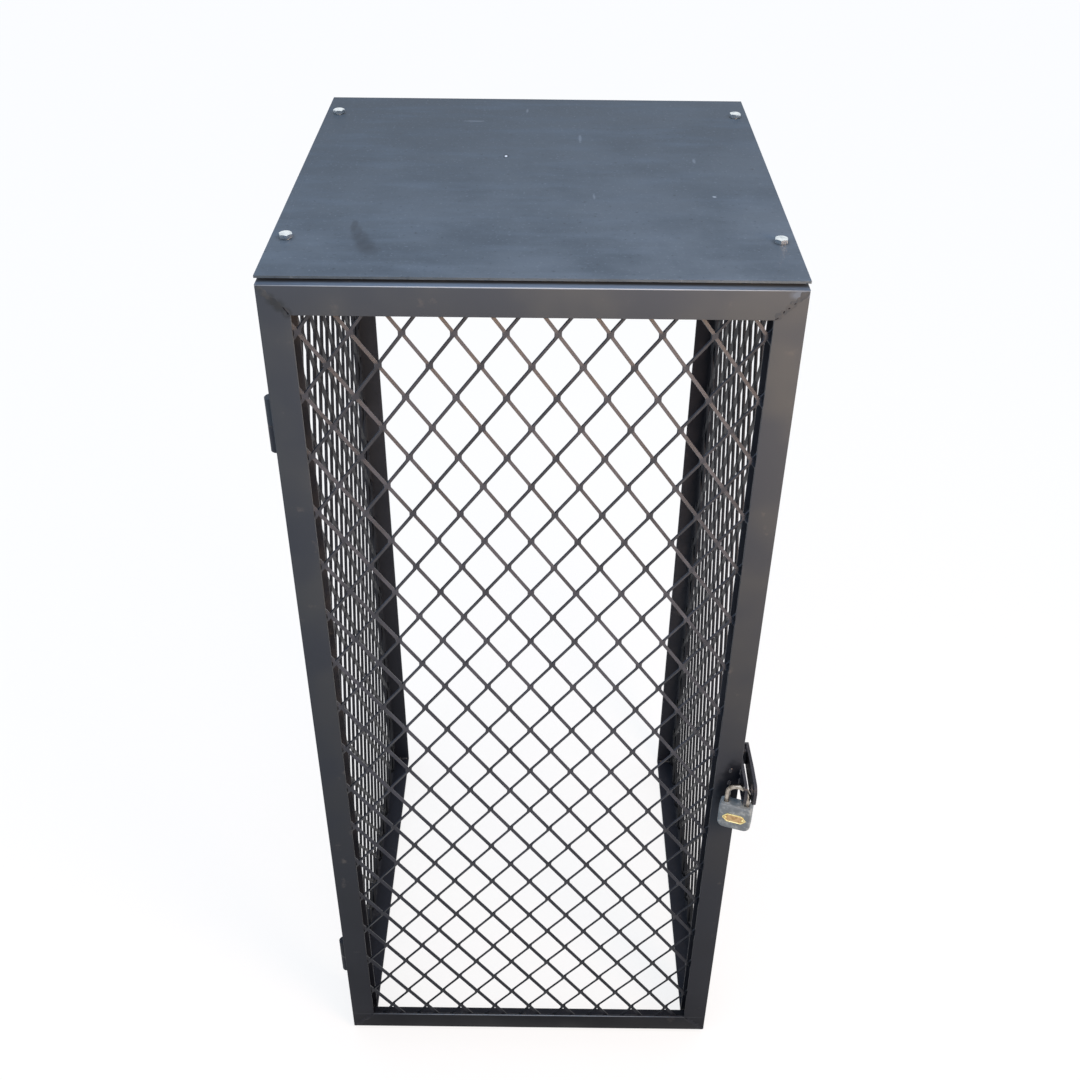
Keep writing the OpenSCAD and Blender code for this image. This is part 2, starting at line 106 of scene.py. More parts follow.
@dataclass
class Shape:
    """Corner points in metres, and the faces between them."""

    points: list[Vector] = field(default_factory=list)
    faces: list[tuple[int, ...]] = field(default_factory=list)

    def add(self, other: "Shape") -> "Shape":
        """Join another shape to this one.

        Args:
            other: The shape to join, which stays as it is.

        Returns:
            This shape.
        """
        first = len(self.points)
        self.points += other.points
        self.faces += [tuple(i + first for i in f) for f in other.faces]
        return self

    def placed(self, matrix: Matrix) -> "Shape":
        """Copy the shape to another place.

        Args:
            matrix: Where the shape goes, in metres.

        Returns:
            The copy.
        """
        return Shape([matrix @ p for p in self.points], list(self.faces))

    def loft(self, rings: Sequence[Sequence[Vector]], capped: bool = True) -> "Shape":
        """Add a skin over rings of the same number of points.

        Args:
            rings: The rings in order, each a closed loop.
            capped: Whether the first and last ring are closed with a face.

        Returns:
            This shape.
        """
        first, count = len(self.points), len(rings[0])
        for ring in rings:
            self.points += [Vector(p) for p in ring]
        for r in range(len(rings) - 1):
            a, b = first + r * count, first + (r + 1) * count
            for i in range(count):
                j = (i + 1) % count
                self.faces.append((a + i, a + j, b + j, b + i))
        if capped:
            last = first + (len(rings) - 1) * count
            self.faces.append(tuple(range(first + count - 1, first - 1, -1)))
            self.faces.append(tuple(range(last, last + count)))
        return self


class Finish(Protocol):
    """A finish that can build its material."""

    name: str

    def material(self) -> bpy.types.Material:
        """Build the finish's material."""


_made: dict[str, bpy.types.Material] = {}


def dress(piece: bpy.types.Object, finish: Finish) -> None:
    """Give a piece its finish, in every material slot that it has.

    Args:
        piece: The piece or CAD node.
        finish: The finish, whose material is made once and shared.
    """
    if finish.name not in _made:
        _made[finish.name] = finish.material()
    materials = piece.data.materials
    if not materials:
        materials.append(_made[finish.name])
    for i in range(len(piece.material_slots)):
        piece.material_slots[i].material = _made[finish.name]
    log.info("%s: %s", piece.name, finish.name)


def put(name: str, data: Any) -> bpy.types.Object:
    """Link a new object to the scene.

    Args:
        name: The object's name.
        data: The mesh, lamp or camera that it shows.

    Returns:
        The new object.
    """
    thing = bpy.data.objects.new(name, data)
    bpy.context.scene.collection.objects.link(thing)
    return thing


def shape_mesh(name: str, shape: Shape) -> bpy.types.Mesh:
    """Turn a closed shape into a mesh with its faces outwards.

    Args:
        name: The mesh's name.
        shape: The shape.

    Returns:
        The mesh.
    """
    mesh = bpy.data.meshes.new(name)
    bm = bmesh.new()
    corners = [bm.verts.new(p) for p in shape.points]
    for f in shape.faces:
        bm.faces.new([corners[i] for i in f])
    bmesh.ops.recalc_face_normals(bm, faces=bm.faces)
    bm.to_mesh(mesh)
    bm.free()
    return mesh


@dataclass(frozen=True)
class Piece:
    """A piece of the cage that scene.py makes itself.

    It moves with its body, wears its given finish, and stands for the CAD nodes that it replaces.
    Edges sharper than its crease, in degrees, stay sharp.
    """

    name: str
    finish: Finish
    body: Body
    slot: Slot
    stands_for: tuple[str, ...] = ()
    crease: float = 35.0

    def show(self, form: Shape | bpy.types.Mesh) -> bpy.types.Object:
        """Show a closed form as this piece.

        Args:
            form: The shape or mesh, at rest in the row frame.

        Returns:
            The new object.
        """
        mesh = shape_mesh(self.name, form) if isinstance(form, Shape) else form
        mesh.shade_smooth()
        mesh.set_sharp_from_angle(angle=math.radians(self.crease))
        piece = put(self.name, mesh)
        dress(piece, self.finish)
        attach(piece, self.body.value)
        for node in self.stands_for:
            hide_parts(node)
        log.info("%s: %d faces on %s", self.name, len(mesh.polygons), self.body.value)
        return piece


def at(x: float, y: float, z: float) -> Vector:
    """Return a point given in millimetres, in metres."""
    return Vector((x, y, z)) * MM


def turned(x: float, y: float, z: float) -> Matrix:
    """Turn about X, then Y, then Z, as the CAD source writes it.

    Args:
        x: Degrees about X.
        y: Degrees about Y.
        z: Degrees about Z.

    Returns:
        The turn.
    """
    rx, ry, rz = (
        Matrix.Rotation(math.radians(a), 4, axis) for a, axis in ((x, "X"), (y, "Y"), (z, "Z"))
    )
    return rz @ ry @ rx


def moved(x: float, y: float, z: float) -> Matrix:
    """Return a move by millimetres."""
    return Matrix.Translation(at(x, y, z))


def arc(cx: float, cy: float, r: float, start: float, end: float, steps: int) -> list[Pair]:
    """Step along an arc.

    Args:
        cx: The centre's first coordinate.
        cy: The centre's second coordinate.
        r: The radius.
        start: The first angle in degrees.
        end: The last angle in degrees.
        steps: The number of stretches.

    Returns:
        The points.
    """
    turns = [math.radians(start + (end - start) * i / steps) for i in range(steps + 1)]
    return [(cx + r * math.cos(a), cy + r * math.sin(a)) for a in turns]


def bored(mesh: bpy.types.Mesh, cutters: Iterable[Shape]) -> bpy.types.Mesh:
    """Cut shapes out of a mesh.

    Args:
        mesh: The mesh to cut.
        cutters: The closed shapes to take away, in metres.

    Returns:
        A new mesh with the cuts made.
    """
    work, tools = put("work", mesh), []
    for cutter in cutters:
        tools.append(put("tool", shape_mesh("tool", cutter)))
        cut = work.modifiers.new("cut", "BOOLEAN")
        cut.object, cut.operation, cut.solver = tools[-1], "DIFFERENCE", "EXACT"
    graph = bpy.context.evaluated_depsgraph_get()
    result = bpy.data.meshes.new_from_object(work.evaluated_get(graph), depsgraph=graph)
    for thing in [work, *tools]:
        bpy.data.objects.remove(thing)
    return result


def rod(start: Vector, end: Vector, radius: float, sides: int = 40) -> Shape:
    """Make a round rod, used to bore holes.

    Args:
        start: One end in metres.
        end: The other end in metres.
        radius: The radius in metres.
        sides: The number of sides.

    Returns:
        The rod.
    """
    turn = (end - start).to_track_quat("Z", "Y").to_matrix()
    ring = [
        turn @ Vector((math.cos(a), math.sin(a), 0)) * radius
        for a in (2 * math.pi * i / sides for i in range(sides))
    ]
    return Shape().loft([[start + p for p in ring], [end + p for p in ring]])


# Finishes


def linear(code: str) -> tuple[float, float, float, float]:
    """Turn an sRGB hex colour into linear values.

    Args:
        code: The colour, such as #4b494e.

    Returns:
        Red, green, blue and alpha.
    """
    parts = [int(code[i : i + 2], 16) / 255 for i in (1, 3, 5)]
    r, g, b = (c / 12.92 if c <= 0.04045 else ((c + 0.055) / 1.055) ** 2.4 for c in parts)
    return (r, g, b, 1.0)


def add_node(
    tree: Tree, kind: str, inputs: dict[Any, Any] | None = None, **settings: Any
) -> bpy.types.Node:
    """Add a node with its settings and links.

    Args:
        tree: The node tree.
        kind: The node's type.
        inputs: Input sockets by name or number, with a value or the output that feeds each.
        **settings: The node's own settings.

    Returns:
        The new node.
    """
    node = tree.nodes.new(kind)
    for key, value in settings.items():
        setattr(node, key, value)
    for key, value in (inputs or {}).items():
        if isinstance(value, Socket):
            tree.links.new(value, node.inputs[key])
        else:
            node.inputs[key].default_value = value
    return node


def per_mm(size: float) -> float:
    """Return the texture scale that gives a pattern features of this many millimetres."""
    return 1000.0 / size


class Cloud(Enum):
    """How rough a noise pattern is: its detail and its roughness."""

    SOFT = (2.0, 0.45)
    ROUGH = (5.0, 0.6)
    FINE = (1.0, 0.5)


@dataclass(frozen=True)
class Patch:
    """A spot in mm where a coat differs, such as a smear or a touched-up weld.

    Its colour shows in full in the core, and fades from there to the edge. The edge is shaken by
    a noise, by this share of the patch's size.
    """

    centre: Point
    size: Point
    colour: str
    share: float = 1.0
    ragged: float = 0.9
    core: float = 0.35
    fringe_mm: float = 9.0
    fringe_detail: float = 3.0


class Coat:
    """A material while it is built up, layer by layer.

    Attributes:
        made: The material.
        tree: Its node tree.
        where: The object coordinates in metres.
        colour: The colour of the layers so far.
        relief: The normal that the dents so far give, under its socket's name.
    """

    def __init__(self, name: str, base: str) -> None:
        """Start the material.

        Args:
            name: Its name.
            base: The sRGB hex colour of its first layer.
        """
        self.made = bpy.data.materials.new(name)
        self.made.use_nodes = True
        self.tree = self.made.node_tree
        self.tree.nodes.clear()
        self.where = add_node(self.tree, "ShaderNodeTexCoord").outputs["Object"]
        self.colour: Any = linear(base)
        self.relief: dict[str, Socket] = {}

    def pattern(
        self, size: float, kind: Cloud, levels: Pair, stretch: Point | None = None
    ) -> Socket:
        """Add a noise pattern.

        Args:
            size: The size of its features in mm.
            kind: How rough it is.
            levels: The levels of the noise that give 0 and 1.
            stretch: How much faster it runs along each axis, if not the same.

        Returns:
            The pattern, from 0 to 1.
        """
        where, (detail, rough) = self.where, kind.value
        if stretch:
            where = add_node(
                self.tree, "ShaderNodeVectorMath", {0: where, 1: stretch}, operation="MULTIPLY"
            ).outputs[0]
        inputs = {"Vector": where, "Scale": per_mm(size), "Detail": detail, "Roughness": rough}
        noise = add_node(self.tree, "ShaderNodeTexNoise", inputs).outputs[0]
        inputs = {"Value": noise, "From Min": levels[0], "From Max": levels[1]}
        return add_node(
            self.tree, "ShaderNodeMapRange", inputs, interpolation_type="SMOOTHSTEP"
        ).outputs[0]

    def gradient(self, way: Point, low: float, high: float) -> Socket:
        """Add a share that grows along a direction.

        Args:
            way: The direction.
            low: How far along it the share starts, in metres.
            high: How far along it the share is full, in metres.

        Returns:
            The share, from 0 to 1.
        """
        along = add_node(
            self.tree, "ShaderNodeVectorMath", {0: self.where, 1: way}, operation="DOT_PRODUCT"
        ).outputs[1]
        inputs = {"Value": along, "From Min": low, "From Max": high}
        return add_node(self.tree, "ShaderNodeMapRange", inputs).outputs[0]

    def lay(self, share: Socket, colour: str, strength: float = 1.0) -> None:
        """Lay a colour over the layers so far.

        Args:
            share: How much of it shows, from 0 to 1.
            colour: The sRGB hex colour.
            strength: How much of it shows where the share is full.
        """
        if strength < 1.0:
            share = add_node(
                self.tree, "ShaderNodeMath", {0: share, 1: strength}, operation="MULTIPLY"
            ).outputs[0]
        inputs = {0: share, 6: self.colour, 7: linear(colour)}
        self.colour = add_node(self.tree, "ShaderNodeMix", inputs, data_type="RGBA").outputs[2]

    def touch(self, patch: Patch) -> None:
        """Lay a patch over the layers so far, with a ragged soft edge.

        Args:
            patch: The patch.
        """
        size, shake = Vector(patch.size) * MM, Vector(patch.size) * patch.ragged
        away = add_node(
            self.tree,
            "ShaderNodeTexNoise",
            {"Vector": self.where, "Scale": per_mm(patch.fringe_mm), "Detail": patch.fringe_detail},
        ).outputs[1]
        for operation, inputs in (
            ("MULTIPLY_ADD", {1: shake * MM, 2: self.where}),
            ("SUBTRACT", {1: (Vector(patch.centre) + shake / 2) * MM}),
            ("DIVIDE", {1: size}),
        ):
            away = add_node(
                self.tree, "ShaderNodeVectorMath", {0: away, **inputs}, operation=operation
            ).outputs[0]
        away = add_node(
            self.tree, "ShaderNodeVectorMath", {0: away}, operation="LENGTH"
        ).outputs[1]
        shown = add_node(
            self.tree,
            "ShaderNodeMapRange",
            {"Value": away, "From Min": patch.core, "To Min": patch.share, "To Max": 0.0},
            interpolation_type="SMOOTHSTEP",
        ).outputs[0]
        self.lay(shown, patch.colour)

    def dent(self, height: Socket, depth: float) -> None:
        """Dent the surface.

        Args:
            height: The pattern of the dents, from 0 to 1.
            depth: Their depth in mm.
        """
        inputs = {"Height": height, "Distance": depth * MM, **self.relief}
        self.relief = {"Normal": add_node(self.tree, "ShaderNodeBump", inputs).outputs[0]}

    def close(self, share: Socket, roughness: Pair, **sockets: float) -> bpy.types.Material:
        """Add the surface shader and the output.

        Args:
            share: The pattern that the roughness follows, from 0 to 1.
            roughness: The roughness where the pattern is 0 and where it is 1.
            **sockets: Plain values, with underscores for the spaces in their sockets' names.

        Returns:
            The material.
        """
        inputs = {"Value": share, "To Min": roughness[0], "To Max": roughness[1]}
        rough = add_node(self.tree, "ShaderNodeMapRange", inputs).outputs[0]
        inputs = {key.replace("_", " "): value for key, value in sockets.items()}
        inputs |= {"Base Color": self.colour, "Roughness": rough, **self.relief}
        shader = add_node(self.tree, "ShaderNodeBsdfPrincipled", inputs)
        add_node(self.tree, "ShaderNodeOutputMaterial", {"Surface": shader.outputs[0]})
        return self.made


@dataclass(frozen=True)
class SprayedEnamel:
    """Satin charcoal enamel, sprayed over hot-rolled steel.

    The eye sees a dark, slightly uneven coat: soft clouds where the coat is thicker, a fine
    orange peel in the gloss, pale rubbed spots, and a painted shade that darkens it near the
    ground.
    """

    name: str
    coat: str
    thin_coat: str
    foot_shade: str
    rub: str = "#77746f"
    roughness: Pair = (0.42, 0.56)
    cloud_mm: float = 70.0
    cloud_levels: Pair = (0.35, 0.68)
    rub_levels: Pair = (0.62, 0.82)
    rub_share: float = 0.35
    rub_finer: float = 4.0  # rubbed spots are this many times finer than the clouds
    peel_mm: float = 2.4  # drawn coarser than the real 1 mm, which wouldn't show
    peel_levels: Pair = (0.2, 0.8)
    peel_depth: float = 0.012
    dent_depth: float = 0.05
    patches: tuple[Patch, ...] = ()
    foot_height: Pair = (0.0, 0.6)
    gloss: float = 0.2

    def material(self) -> bpy.types.Material:
        """Build the material.

        Returns:
            The material.
        """
        coat = Coat(self.name, self.coat)
        clouds = coat.pattern(self.cloud_mm, Cloud.SOFT, self.cloud_levels)
        rubs = coat.pattern(self.cloud_mm / self.rub_finer, Cloud.ROUGH, self.rub_levels)
        peel = coat.pattern(self.peel_mm, Cloud.FINE, self.peel_levels)
        ground, clear = self.foot_height
        coat.lay(clouds, self.thin_coat)
        # Painted shade: the coat darkens towards the ground.
        coat.lay(coat.gradient((0.0, 0.0, -1.0), -clear, -ground), self.foot_shade)
        coat.lay(rubs, self.rub, self.rub_share)
        for patch in self.patches:
            coat.touch(patch)
        coat.dent(clouds, self.dent_depth)
        coat.dent(peel, self.peel_depth)
        return coat.close(clouds, self.roughness, Specular_IOR_Level=self.gloss)


@dataclass(frozen=True)
class WipedSheetEnamel:
    """Satin slate enamel on a flat sheet that was wiped while it was dusty.

    The eye sees broad soft clouds, faint streaks across the sheet where the cloth went, pale
    specks of dust, a few dark smears and scratches, and painted light: a paler coat towards the
    front right.
    """

    name: str
    dark_coat: str
    painted_light_coat: str
    dust: str
    grime: str
    painted_light_way: Point = (0.35, -0.94, 0.0)
    painted_light_reach: float = 0.28
    cloud_mm: float = 95.0
    cloud_levels: Pair = (0.32, 0.7)
    cloud_share: float = 0.6
    streak_mm: float = 16.0
    streak_stretch: Point = (0.22, 1.0, 1.0)
    streak_levels: Pair = (0.42, 0.78)
    streak_share: float = 0.26
    speck_mm: float = 2.6
    speck_levels: Pair = (0.6, 0.8)
    speck_share: float = 0.4
    grime_mm: float = 4.42
    grime_levels: Pair = (0.62, 0.8)
    grime_share: float = 0.55
    dent_depth: float = 0.04
    speck_height: float = 0.008
    roughness: Pair = (0.42, 0.55)
    gloss: float = 0.1
    patches: tuple[Patch, ...] = ()

    def material(self) -> bpy.types.Material:
        """Build the material.

        Returns:
            The material.
        """
        sheet = Coat(self.name, self.dark_coat)
        clouds = sheet.pattern(self.cloud_mm, Cloud.ROUGH, self.cloud_levels)
        streaks = sheet.pattern(
            self.streak_mm, Cloud.ROUGH, self.streak_levels, self.streak_stretch
        )
        specks = sheet.pattern(self.speck_mm, Cloud.SOFT, self.speck_levels)
        grime = sheet.pattern(self.grime_mm, Cloud.SOFT, self.grime_levels)
        # Painted light: the coat pales towards the front right.
        pale = sheet.gradient(self.painted_light_way, -self.painted_light_reach, self.painted_light_reach)
        sheet.lay(pale, self.painted_light_coat)
        sheet.lay(clouds, self.dark_coat, self.cloud_share)
        sheet.lay(streaks, self.dust, self.streak_share)
        sheet.lay(specks, self.dust, self.speck_share)
        sheet.lay(grime, self.grime, self.grime_share)
        for patch in self.patches:
            sheet.touch(patch)
        sheet.dent(clouds, self.dent_depth)
        sheet.dent(specks, self.speck_height)
        return sheet.close(streaks, self.roughness, Specular_IOR_Level=self.gloss)


@dataclass(frozen=True)
class BareMetal:
    """Plated, ground or lacquered metal: a bright gloss with fine scuffs, duller in spots."""

    name: str
    bright: str
    dull: str
    roughness: Pair = (0.24, 0.42)
    spot_mm: float = 5.0
    spot_levels: Pair = (0.4, 0.72)
    scuff_kind: Cloud = Cloud.ROUGH
    scuff_mm: float = 1.5
    scuff_levels: Pair = (0.3, 0.7)
    scuff_depth: float = 0.006

    def material(self) -> bpy.types.Material:
        """Build the material.

        Returns:
            The material.
        """
        metal = Coat(self.name, self.bright)
        dull = metal.pattern(self.spot_mm, Cloud.ROUGH, self.spot_levels)
        metal.lay(dull, self.dull)
        scuffs = metal.pattern(self.scuff_mm, self.scuff_kind, self.scuff_levels)
        metal.dent(scuffs, self.scuff_depth)
        return metal.close(dull, self.roughness, Metallic=1.0)


@dataclass(frozen=True)
class CaseEnamel:
    """Blue-grey baked enamel on a cast padlock case: matt, faintly pebbled, with chalky wear."""

    name: str = "baked_case_enamel"
    coat: str = "#606b71"
    chalk: str = "#98a3a5"
    chalk_mm: float = 6.0
    chalk_levels: Pair = (0.45, 0.75)
    pebble_mm: float = 1.3
    pebble_levels: Pair = (0.3, 0.7)
    pebble_depth: float = 0.03
    roughness: Pair = (0.38, 0.6)

    def material(self) -> bpy.types.Material:
        """Build the material.

        Returns:
            The material.
        """
        coat = Coat(self.name, self.coat)
        chalk = coat.pattern(self.chalk_mm, Cloud.ROUGH, self.chalk_levels)
        coat.lay(chalk, self.chalk)
        coat.dent(coat.pattern(self.pebble_mm, Cloud.SOFT, self.pebble_levels), self.pebble_depth)
        return coat.close(chalk, self.roughness)


def brass(name: str, bright: str, tarnish: str, roughness: Pair = (0.24, 0.42)) -> BareMetal:
    """Describe brass under clear lacquer: yellow, browner where it has tarnished.

    Args:
        name: The finish's name.
        bright: The colour of the clean metal.
        tarnish: The colour of the spots.
        roughness: Its roughness, clean and tarnished.

    Returns:
        The finish.
    """
    return BareMetal(
        name,
        bright,
        tarnish,
        roughness,
        spot_mm=3.0,
        spot_levels=(0.4, 0.7),
        scuff_kind=Cloud.SOFT,
        scuff_mm=0.8,
        scuff_depth=0.004,
    )


# The cage's bars: a flat near-black grey, a little paler where the coat is thin. The patch is
# painted shade on the rear right post.
FRAME_ENAMEL = SprayedEnamel(
    "sprayed_charcoal_enamel",
    coat="#373a40",
    thin_coat="#41444a",
    foot_shade="#1f2229",
    gloss=0.12,
    # Painted shade on the rear right post.
    patches=(Patch((200.0, 228.0, 760.0), (34.0, 34.0, 520.0), "#0b0e19", 0.8, 0.1),),
)
# The door's bars: the same enamel, bluer, and paler towards the top by a painted shade that darkens
# it down its whole height. The patches are dark spots round the lug's welds, painted shade along
# the foot, a painted highlight on the top face and a painted highlight line along its front edge, a
# pale spot at the top right corner, a painted highlight along the bottom rail's inner edge, and the
# blended upper left seam.
DOOR_ENAMEL = SprayedEnamel(
    "sprayed_charcoal_enamel_door",
    coat="#414850",
    thin_coat="#4b5155",
    foot_shade="#1c1e24",
    foot_height=(0.0, 0.97),
    gloss=0.1,
    patches=(
        Patch((205.0, -208.0, 446.0), (17.0, 12.0, 24.0), "#0d1017", 0.85),
        Patch((202.0, -208.0, 424.0), (20.0, 12.0, 38.0), "#0f131b", 0.85),
        # Painted shade along the foot.
        Patch((0.0, -208.0, 12.0), (360.0, 12.0, 34.0), "#06080e", 0.85, 0.1),
        # Painted highlights: the top face as if lit by the sky, and a bright line on its front
        # edge.
        Patch((0.0, -204.5, 967.0), (300.0, 5.5, 1.2), "#647280", 0.9, 0.2),
        Patch((0.0, -207.8, 966.8), (300.0, 0.8, 0.8), "#a9b3ba", 0.7, 0.2),
        # Painted highlight along the bottom rail's inner top edge.
        Patch((0.0, -207.8, 29.8), (250.0, 1.0, 1.0), "#8a939a", 0.6, 0.2),
        Patch((204.0, -208.0, 963.5), (12.0, 6.0, 4.5), "#5a6878", 0.7),
        Patch((-199.0, -208.0, 956.0), (5.0, 6.0, 7.0), "#33383a", 0.55),
        Patch((-193.0, -208.0, 950.0), (6.0, 6.0, 7.0), "#2f3436", 0.6),
        Patch((-188.0, -208.0, 944.0), (5.0, 6.0, 6.0), "#2b2f32", 0.55),
    ),
)
SHEET_Z = 972.0
BOLT_X = 198.5
BOLT_Y = (-129.0, 186.5)
# Each part of the long dark smear: X, Y, half width, half depth and share.
SMEAR = (
    (-147.0, -103.0, 4.0, 16.0, 0.45),
    (-143.0, -117.0, 6.0, 18.0, 0.4),
    (-138.0, -130.0, 8.0, 18.0, 0.4),
    (-133.0, -143.0, 10.0, 17.0, 0.45),
    (-128.0, -153.0, 11.0, 12.0, 0.3),
)
# Each pale scratch: X, Y, half width and half depth.
SCRATCHES = (
    (41.9, 115.9, 2.0, 16.0),
    (-9.9, 200.0, 1.6, 9.0),
    (-62.8, 165.7, 14.0, 2.4),
    (51.3, -34.2, 1.5, 8.0),
    (145.7, 56.9, 2.0, 9.0),
)
# The top sheet: the wiped slate coat, with a smear, a bare chip in a dark ring, scratches, a
# pale speck, and darker rings round the four bolts.
SHEET_ENAMEL = WipedSheetEnamel(
    "sprayed_slate_enamel_on_sheet",
    dark_coat="#33404b",
    # The paler coat towards the front right is painted light.
    painted_light_coat="#556069",
    dust="#727d87",
    grime="#2c343d",
    patches=(
        *(Patch((x, y, SHEET_Z), (w, d, 8.0), "#262e36", s, 0.5) for x, y, w, d, s in SMEAR),
        Patch((-27.6, 65.8, SHEET_Z), (4.0, 6.5, 6.0), "#27303a", 0.8),
        Patch((-27.6, 65.8, SHEET_Z), (1.7, 3.0, 4.0), "#dbe2e6", 1.0, 0.3),
        Patch((155.3, -31.3, SHEET_Z), (2.4, 2.4, 4.0), "#a8b2b9", 0.6),
        *(Patch((x, y, SHEET_Z), (w, d, 4.0), "#8b969f", 0.28) for x, y, w, d in SCRATCHES),
        *(
            Patch((x, y, SHEET_Z), (10.0, 10.0, 6.0), "#2a323b", 0.5)
            for x in (-BOLT_X, BOLT_X)
            for y in BOLT_Y
        ),
    ),
)
# The door's mesh: thin enamel on cut strands, rubbed pale along the knuckles.
MESH_ENAMEL = SprayedEnamel(
    "sprayed_charcoal_enamel_on_expanded_metal",
    coat="#32373f",
    thin_coat="#40454e",
    foot_shade="#1a1d22",
    rub="#5d646e",
    roughness=(0.4, 0.52),
    cloud_mm=24.0,
    rub_share=0.4,
    dent_depth=0.02,
)
# The side panels: the same enamel in a darker copy that is painted shade for the cage's shaded
# inside, and less rubbed.
SIDE_MESH_PAINTED_SHADE_ENAMEL = SprayedEnamel(
    "sprayed_charcoal_enamel_on_side_expanded_metal",
    coat="#1d1f25",
    thin_coat="#2b2e34",
    foot_shade="#101216",
    rub="#4a4e55",
    roughness=(0.4, 0.52),
    cloud_mm=24.0,
    rub_share=0.3,
    dent_depth=0.02,
    gloss=0.12,
)
# Weld beads: the coat pools between the ripples, so they are darker and glint on their crests.
WELD_ENAMEL = SprayedEnamel(
    "sprayed_enamel_over_weld",
    coat="#1d2029",
    thin_coat="#2a2c33",
    foot_shade="#1b1d24",
    roughness=(0.2, 0.32),
    cloud_mm=8.0,
    dent_depth=0.03,
    gloss=0.4,
)
# Seams ground almost flush: the bars' enamel, duller and lumpier, which shows as a faint ridge.
SEAM_ENAMEL = SprayedEnamel(
    "sprayed_enamel_over_ground_seam",
    coat="#3d444b",
    thin_coat="#474c50",
    foot_shade="#1c1e24",
    foot_height=(0.0, 0.97),
    roughness=(0.4, 0.6),
    cloud_mm=6.0,
    dent_depth=0.06,
    gloss=0.12,
    patches=(Patch((-194.0, -208.0, 951.0), (13.0, 8.0, 14.0), "#2b2f32", 0.6),),
)
# Soot and dust in the pits of the seams: matt, almost black.
CRACK_GRIME = SprayedEnamel(
    "grime_in_seam_cracks",
    coat="#17181c",
    thin_coat="#202126",
    foot_shade="#0c0d10",
    roughness=(0.6, 0.8),
    cloud_mm=5.0,
    gloss=0.05,
)
# Zinc-plated bolts and nuts: cold and pale, with a soft gloss.
ZINC = BareMetal("zinc_plated_steel", "#e6eef2", "#b9c4cb", (0.2, 0.36))
# Ground steel of the hinge pins, the dog and its spring: neutral grey.
GROUND_STEEL = BareMetal("ground_steel", "#b8bcc0", "#8d9196", (0.22, 0.4))
# Chrome plate worn through on the shackle: warm grey with brown spots.
CHROME = BareMetal("worn_chrome_plate", "#b1aaa0", "#776e63", (0.16, 0.32))
CASE = CaseEnamel()
# The badge's raised rim and its rivets catch the light. Its field is browner and duller.
BADGE_RIM = brass("pressed_brass_rim", "#f6ebb0", "#dcc070")
BADGE_FIELD = brass("tarnished_brass_field", "#c6a77c", "#a3845c", (0.34, 0.5))
# The key plug: plain yellow turned brass.
TURNED_BRASS = brass("turned_brass", "#d9b35c", "#a37b38")


# Sub-assemblies


@dataclass(frozen=True)
class Layout:
    """The main sizes of the cage in mm, shared by its sub-assemblies."""

    width: float = 420.0
    frame_depth: float = 420.0
    frame_height: float = 970.0
    leg: float = 25.0
    wall: float = 3.0
    frame_front: float = -182.0
    door_front: float = -208.0
    door_low: float = 5.0
    door_top: float = 967.0

    @property
    def side(self) -> float:
        """Half the width."""
        return self.width / 2

    @property
    def frame_back(self) -> float:
        """Y of the back of the side frames."""
        return self.frame_front + self.frame_depth

    @property
    def door_tall(self) -> float:
        """Height of the door."""
        return self.door_top - self.door_low


CAGE = Layout()


@dataclass(frozen=True)
class WeldBead:
    """A rippled weld bead in mm. A low wide one stands for a seam that was ground almost flush.

    Each ripple is higher at its crest by a share of the height, leans along the bead by a share
    of its own length, and is fuller where its power is lower. The ends taper over a share of the
    width, down to a blunt share of the bead's size. Two slow waves, in radians to the
    millimetre, make it waver in size, drift sideways by a share of that, and never repeat. A
    seed shifts the first wave by this step, and the second and the ripples by one radian.
    """

    width: float = 5.0
    height: float = 1.8
    ripple: float = 1.8
    sunk: float = 0.25
    waver: float = 0.12
    drift: float = 0.25
    crest: float = 0.22
    power: float = 0.6
    lean: float = 0.35
    taper: float = 0.6
    blunt: float = 0.2
    waves: Pair = (0.9, 0.37)
    seed_step: float = 2.3
    fewest_steps: int = 8
    per_ripple: int = 5
    sides: int = 6

    def shape(
        self, start: Sequence[float], end: Sequence[float], normal: Sequence[float], seed: int
    ) -> Shape:
        """Lay the bead from start to end.

        Args:
            start: The first end in mm.
            end: The last end in mm.
            normal: The way that the bead bulges.
            seed: Shifts the ripples, so that no two beads match.

        Returns:
            The bead.
        """
        a, along, out = Vector(start), Vector(end) - Vector(start), Vector(normal).normalized()
        length, way = along.length, along.normalized()
        side = way.cross(out)
        steps = max(self.fewest_steps, int(length / self.ripple * self.per_ripple))
        rings = []
        for i in range(steps + 1):
            s = length * i / steps
            reach = min(1.0, min(s, length - s) / (self.width * self.taper))
            taper = math.sqrt(max(self.blunt**2, 1 - (1 - reach) ** 2))
            wave = abs(math.sin(math.pi * s / self.ripple + seed)) ** self.power
            first, second = (rate * s for rate in self.waves)
            slow = math.sin(first + self.seed_step * seed) * math.sin(second + seed)
            swell = taper * (1 + self.waver * slow)
            half = self.width / 2 * swell
            tall = self.height * swell * (1 - self.crest + self.crest * wave)
            aside = self.waver * slow * self.width * self.drift
            middle = a + along * (i / steps) + side * aside
            ring = [middle + side * half - out * self.sunk]
            for k in range(self.sides + 1):
                t = math.pi * k / self.sides
                point = middle + side * (half * math.cos(t)) + out * (tall * math.sin(t))
                ring.append(point + way * (self.ripple * self.lean * math.sin(t) * taper))
            ring.append(middle - side * half - out * self.sunk)
            rings.append([p * MM for p in ring])
        return Shape().loft(rings)


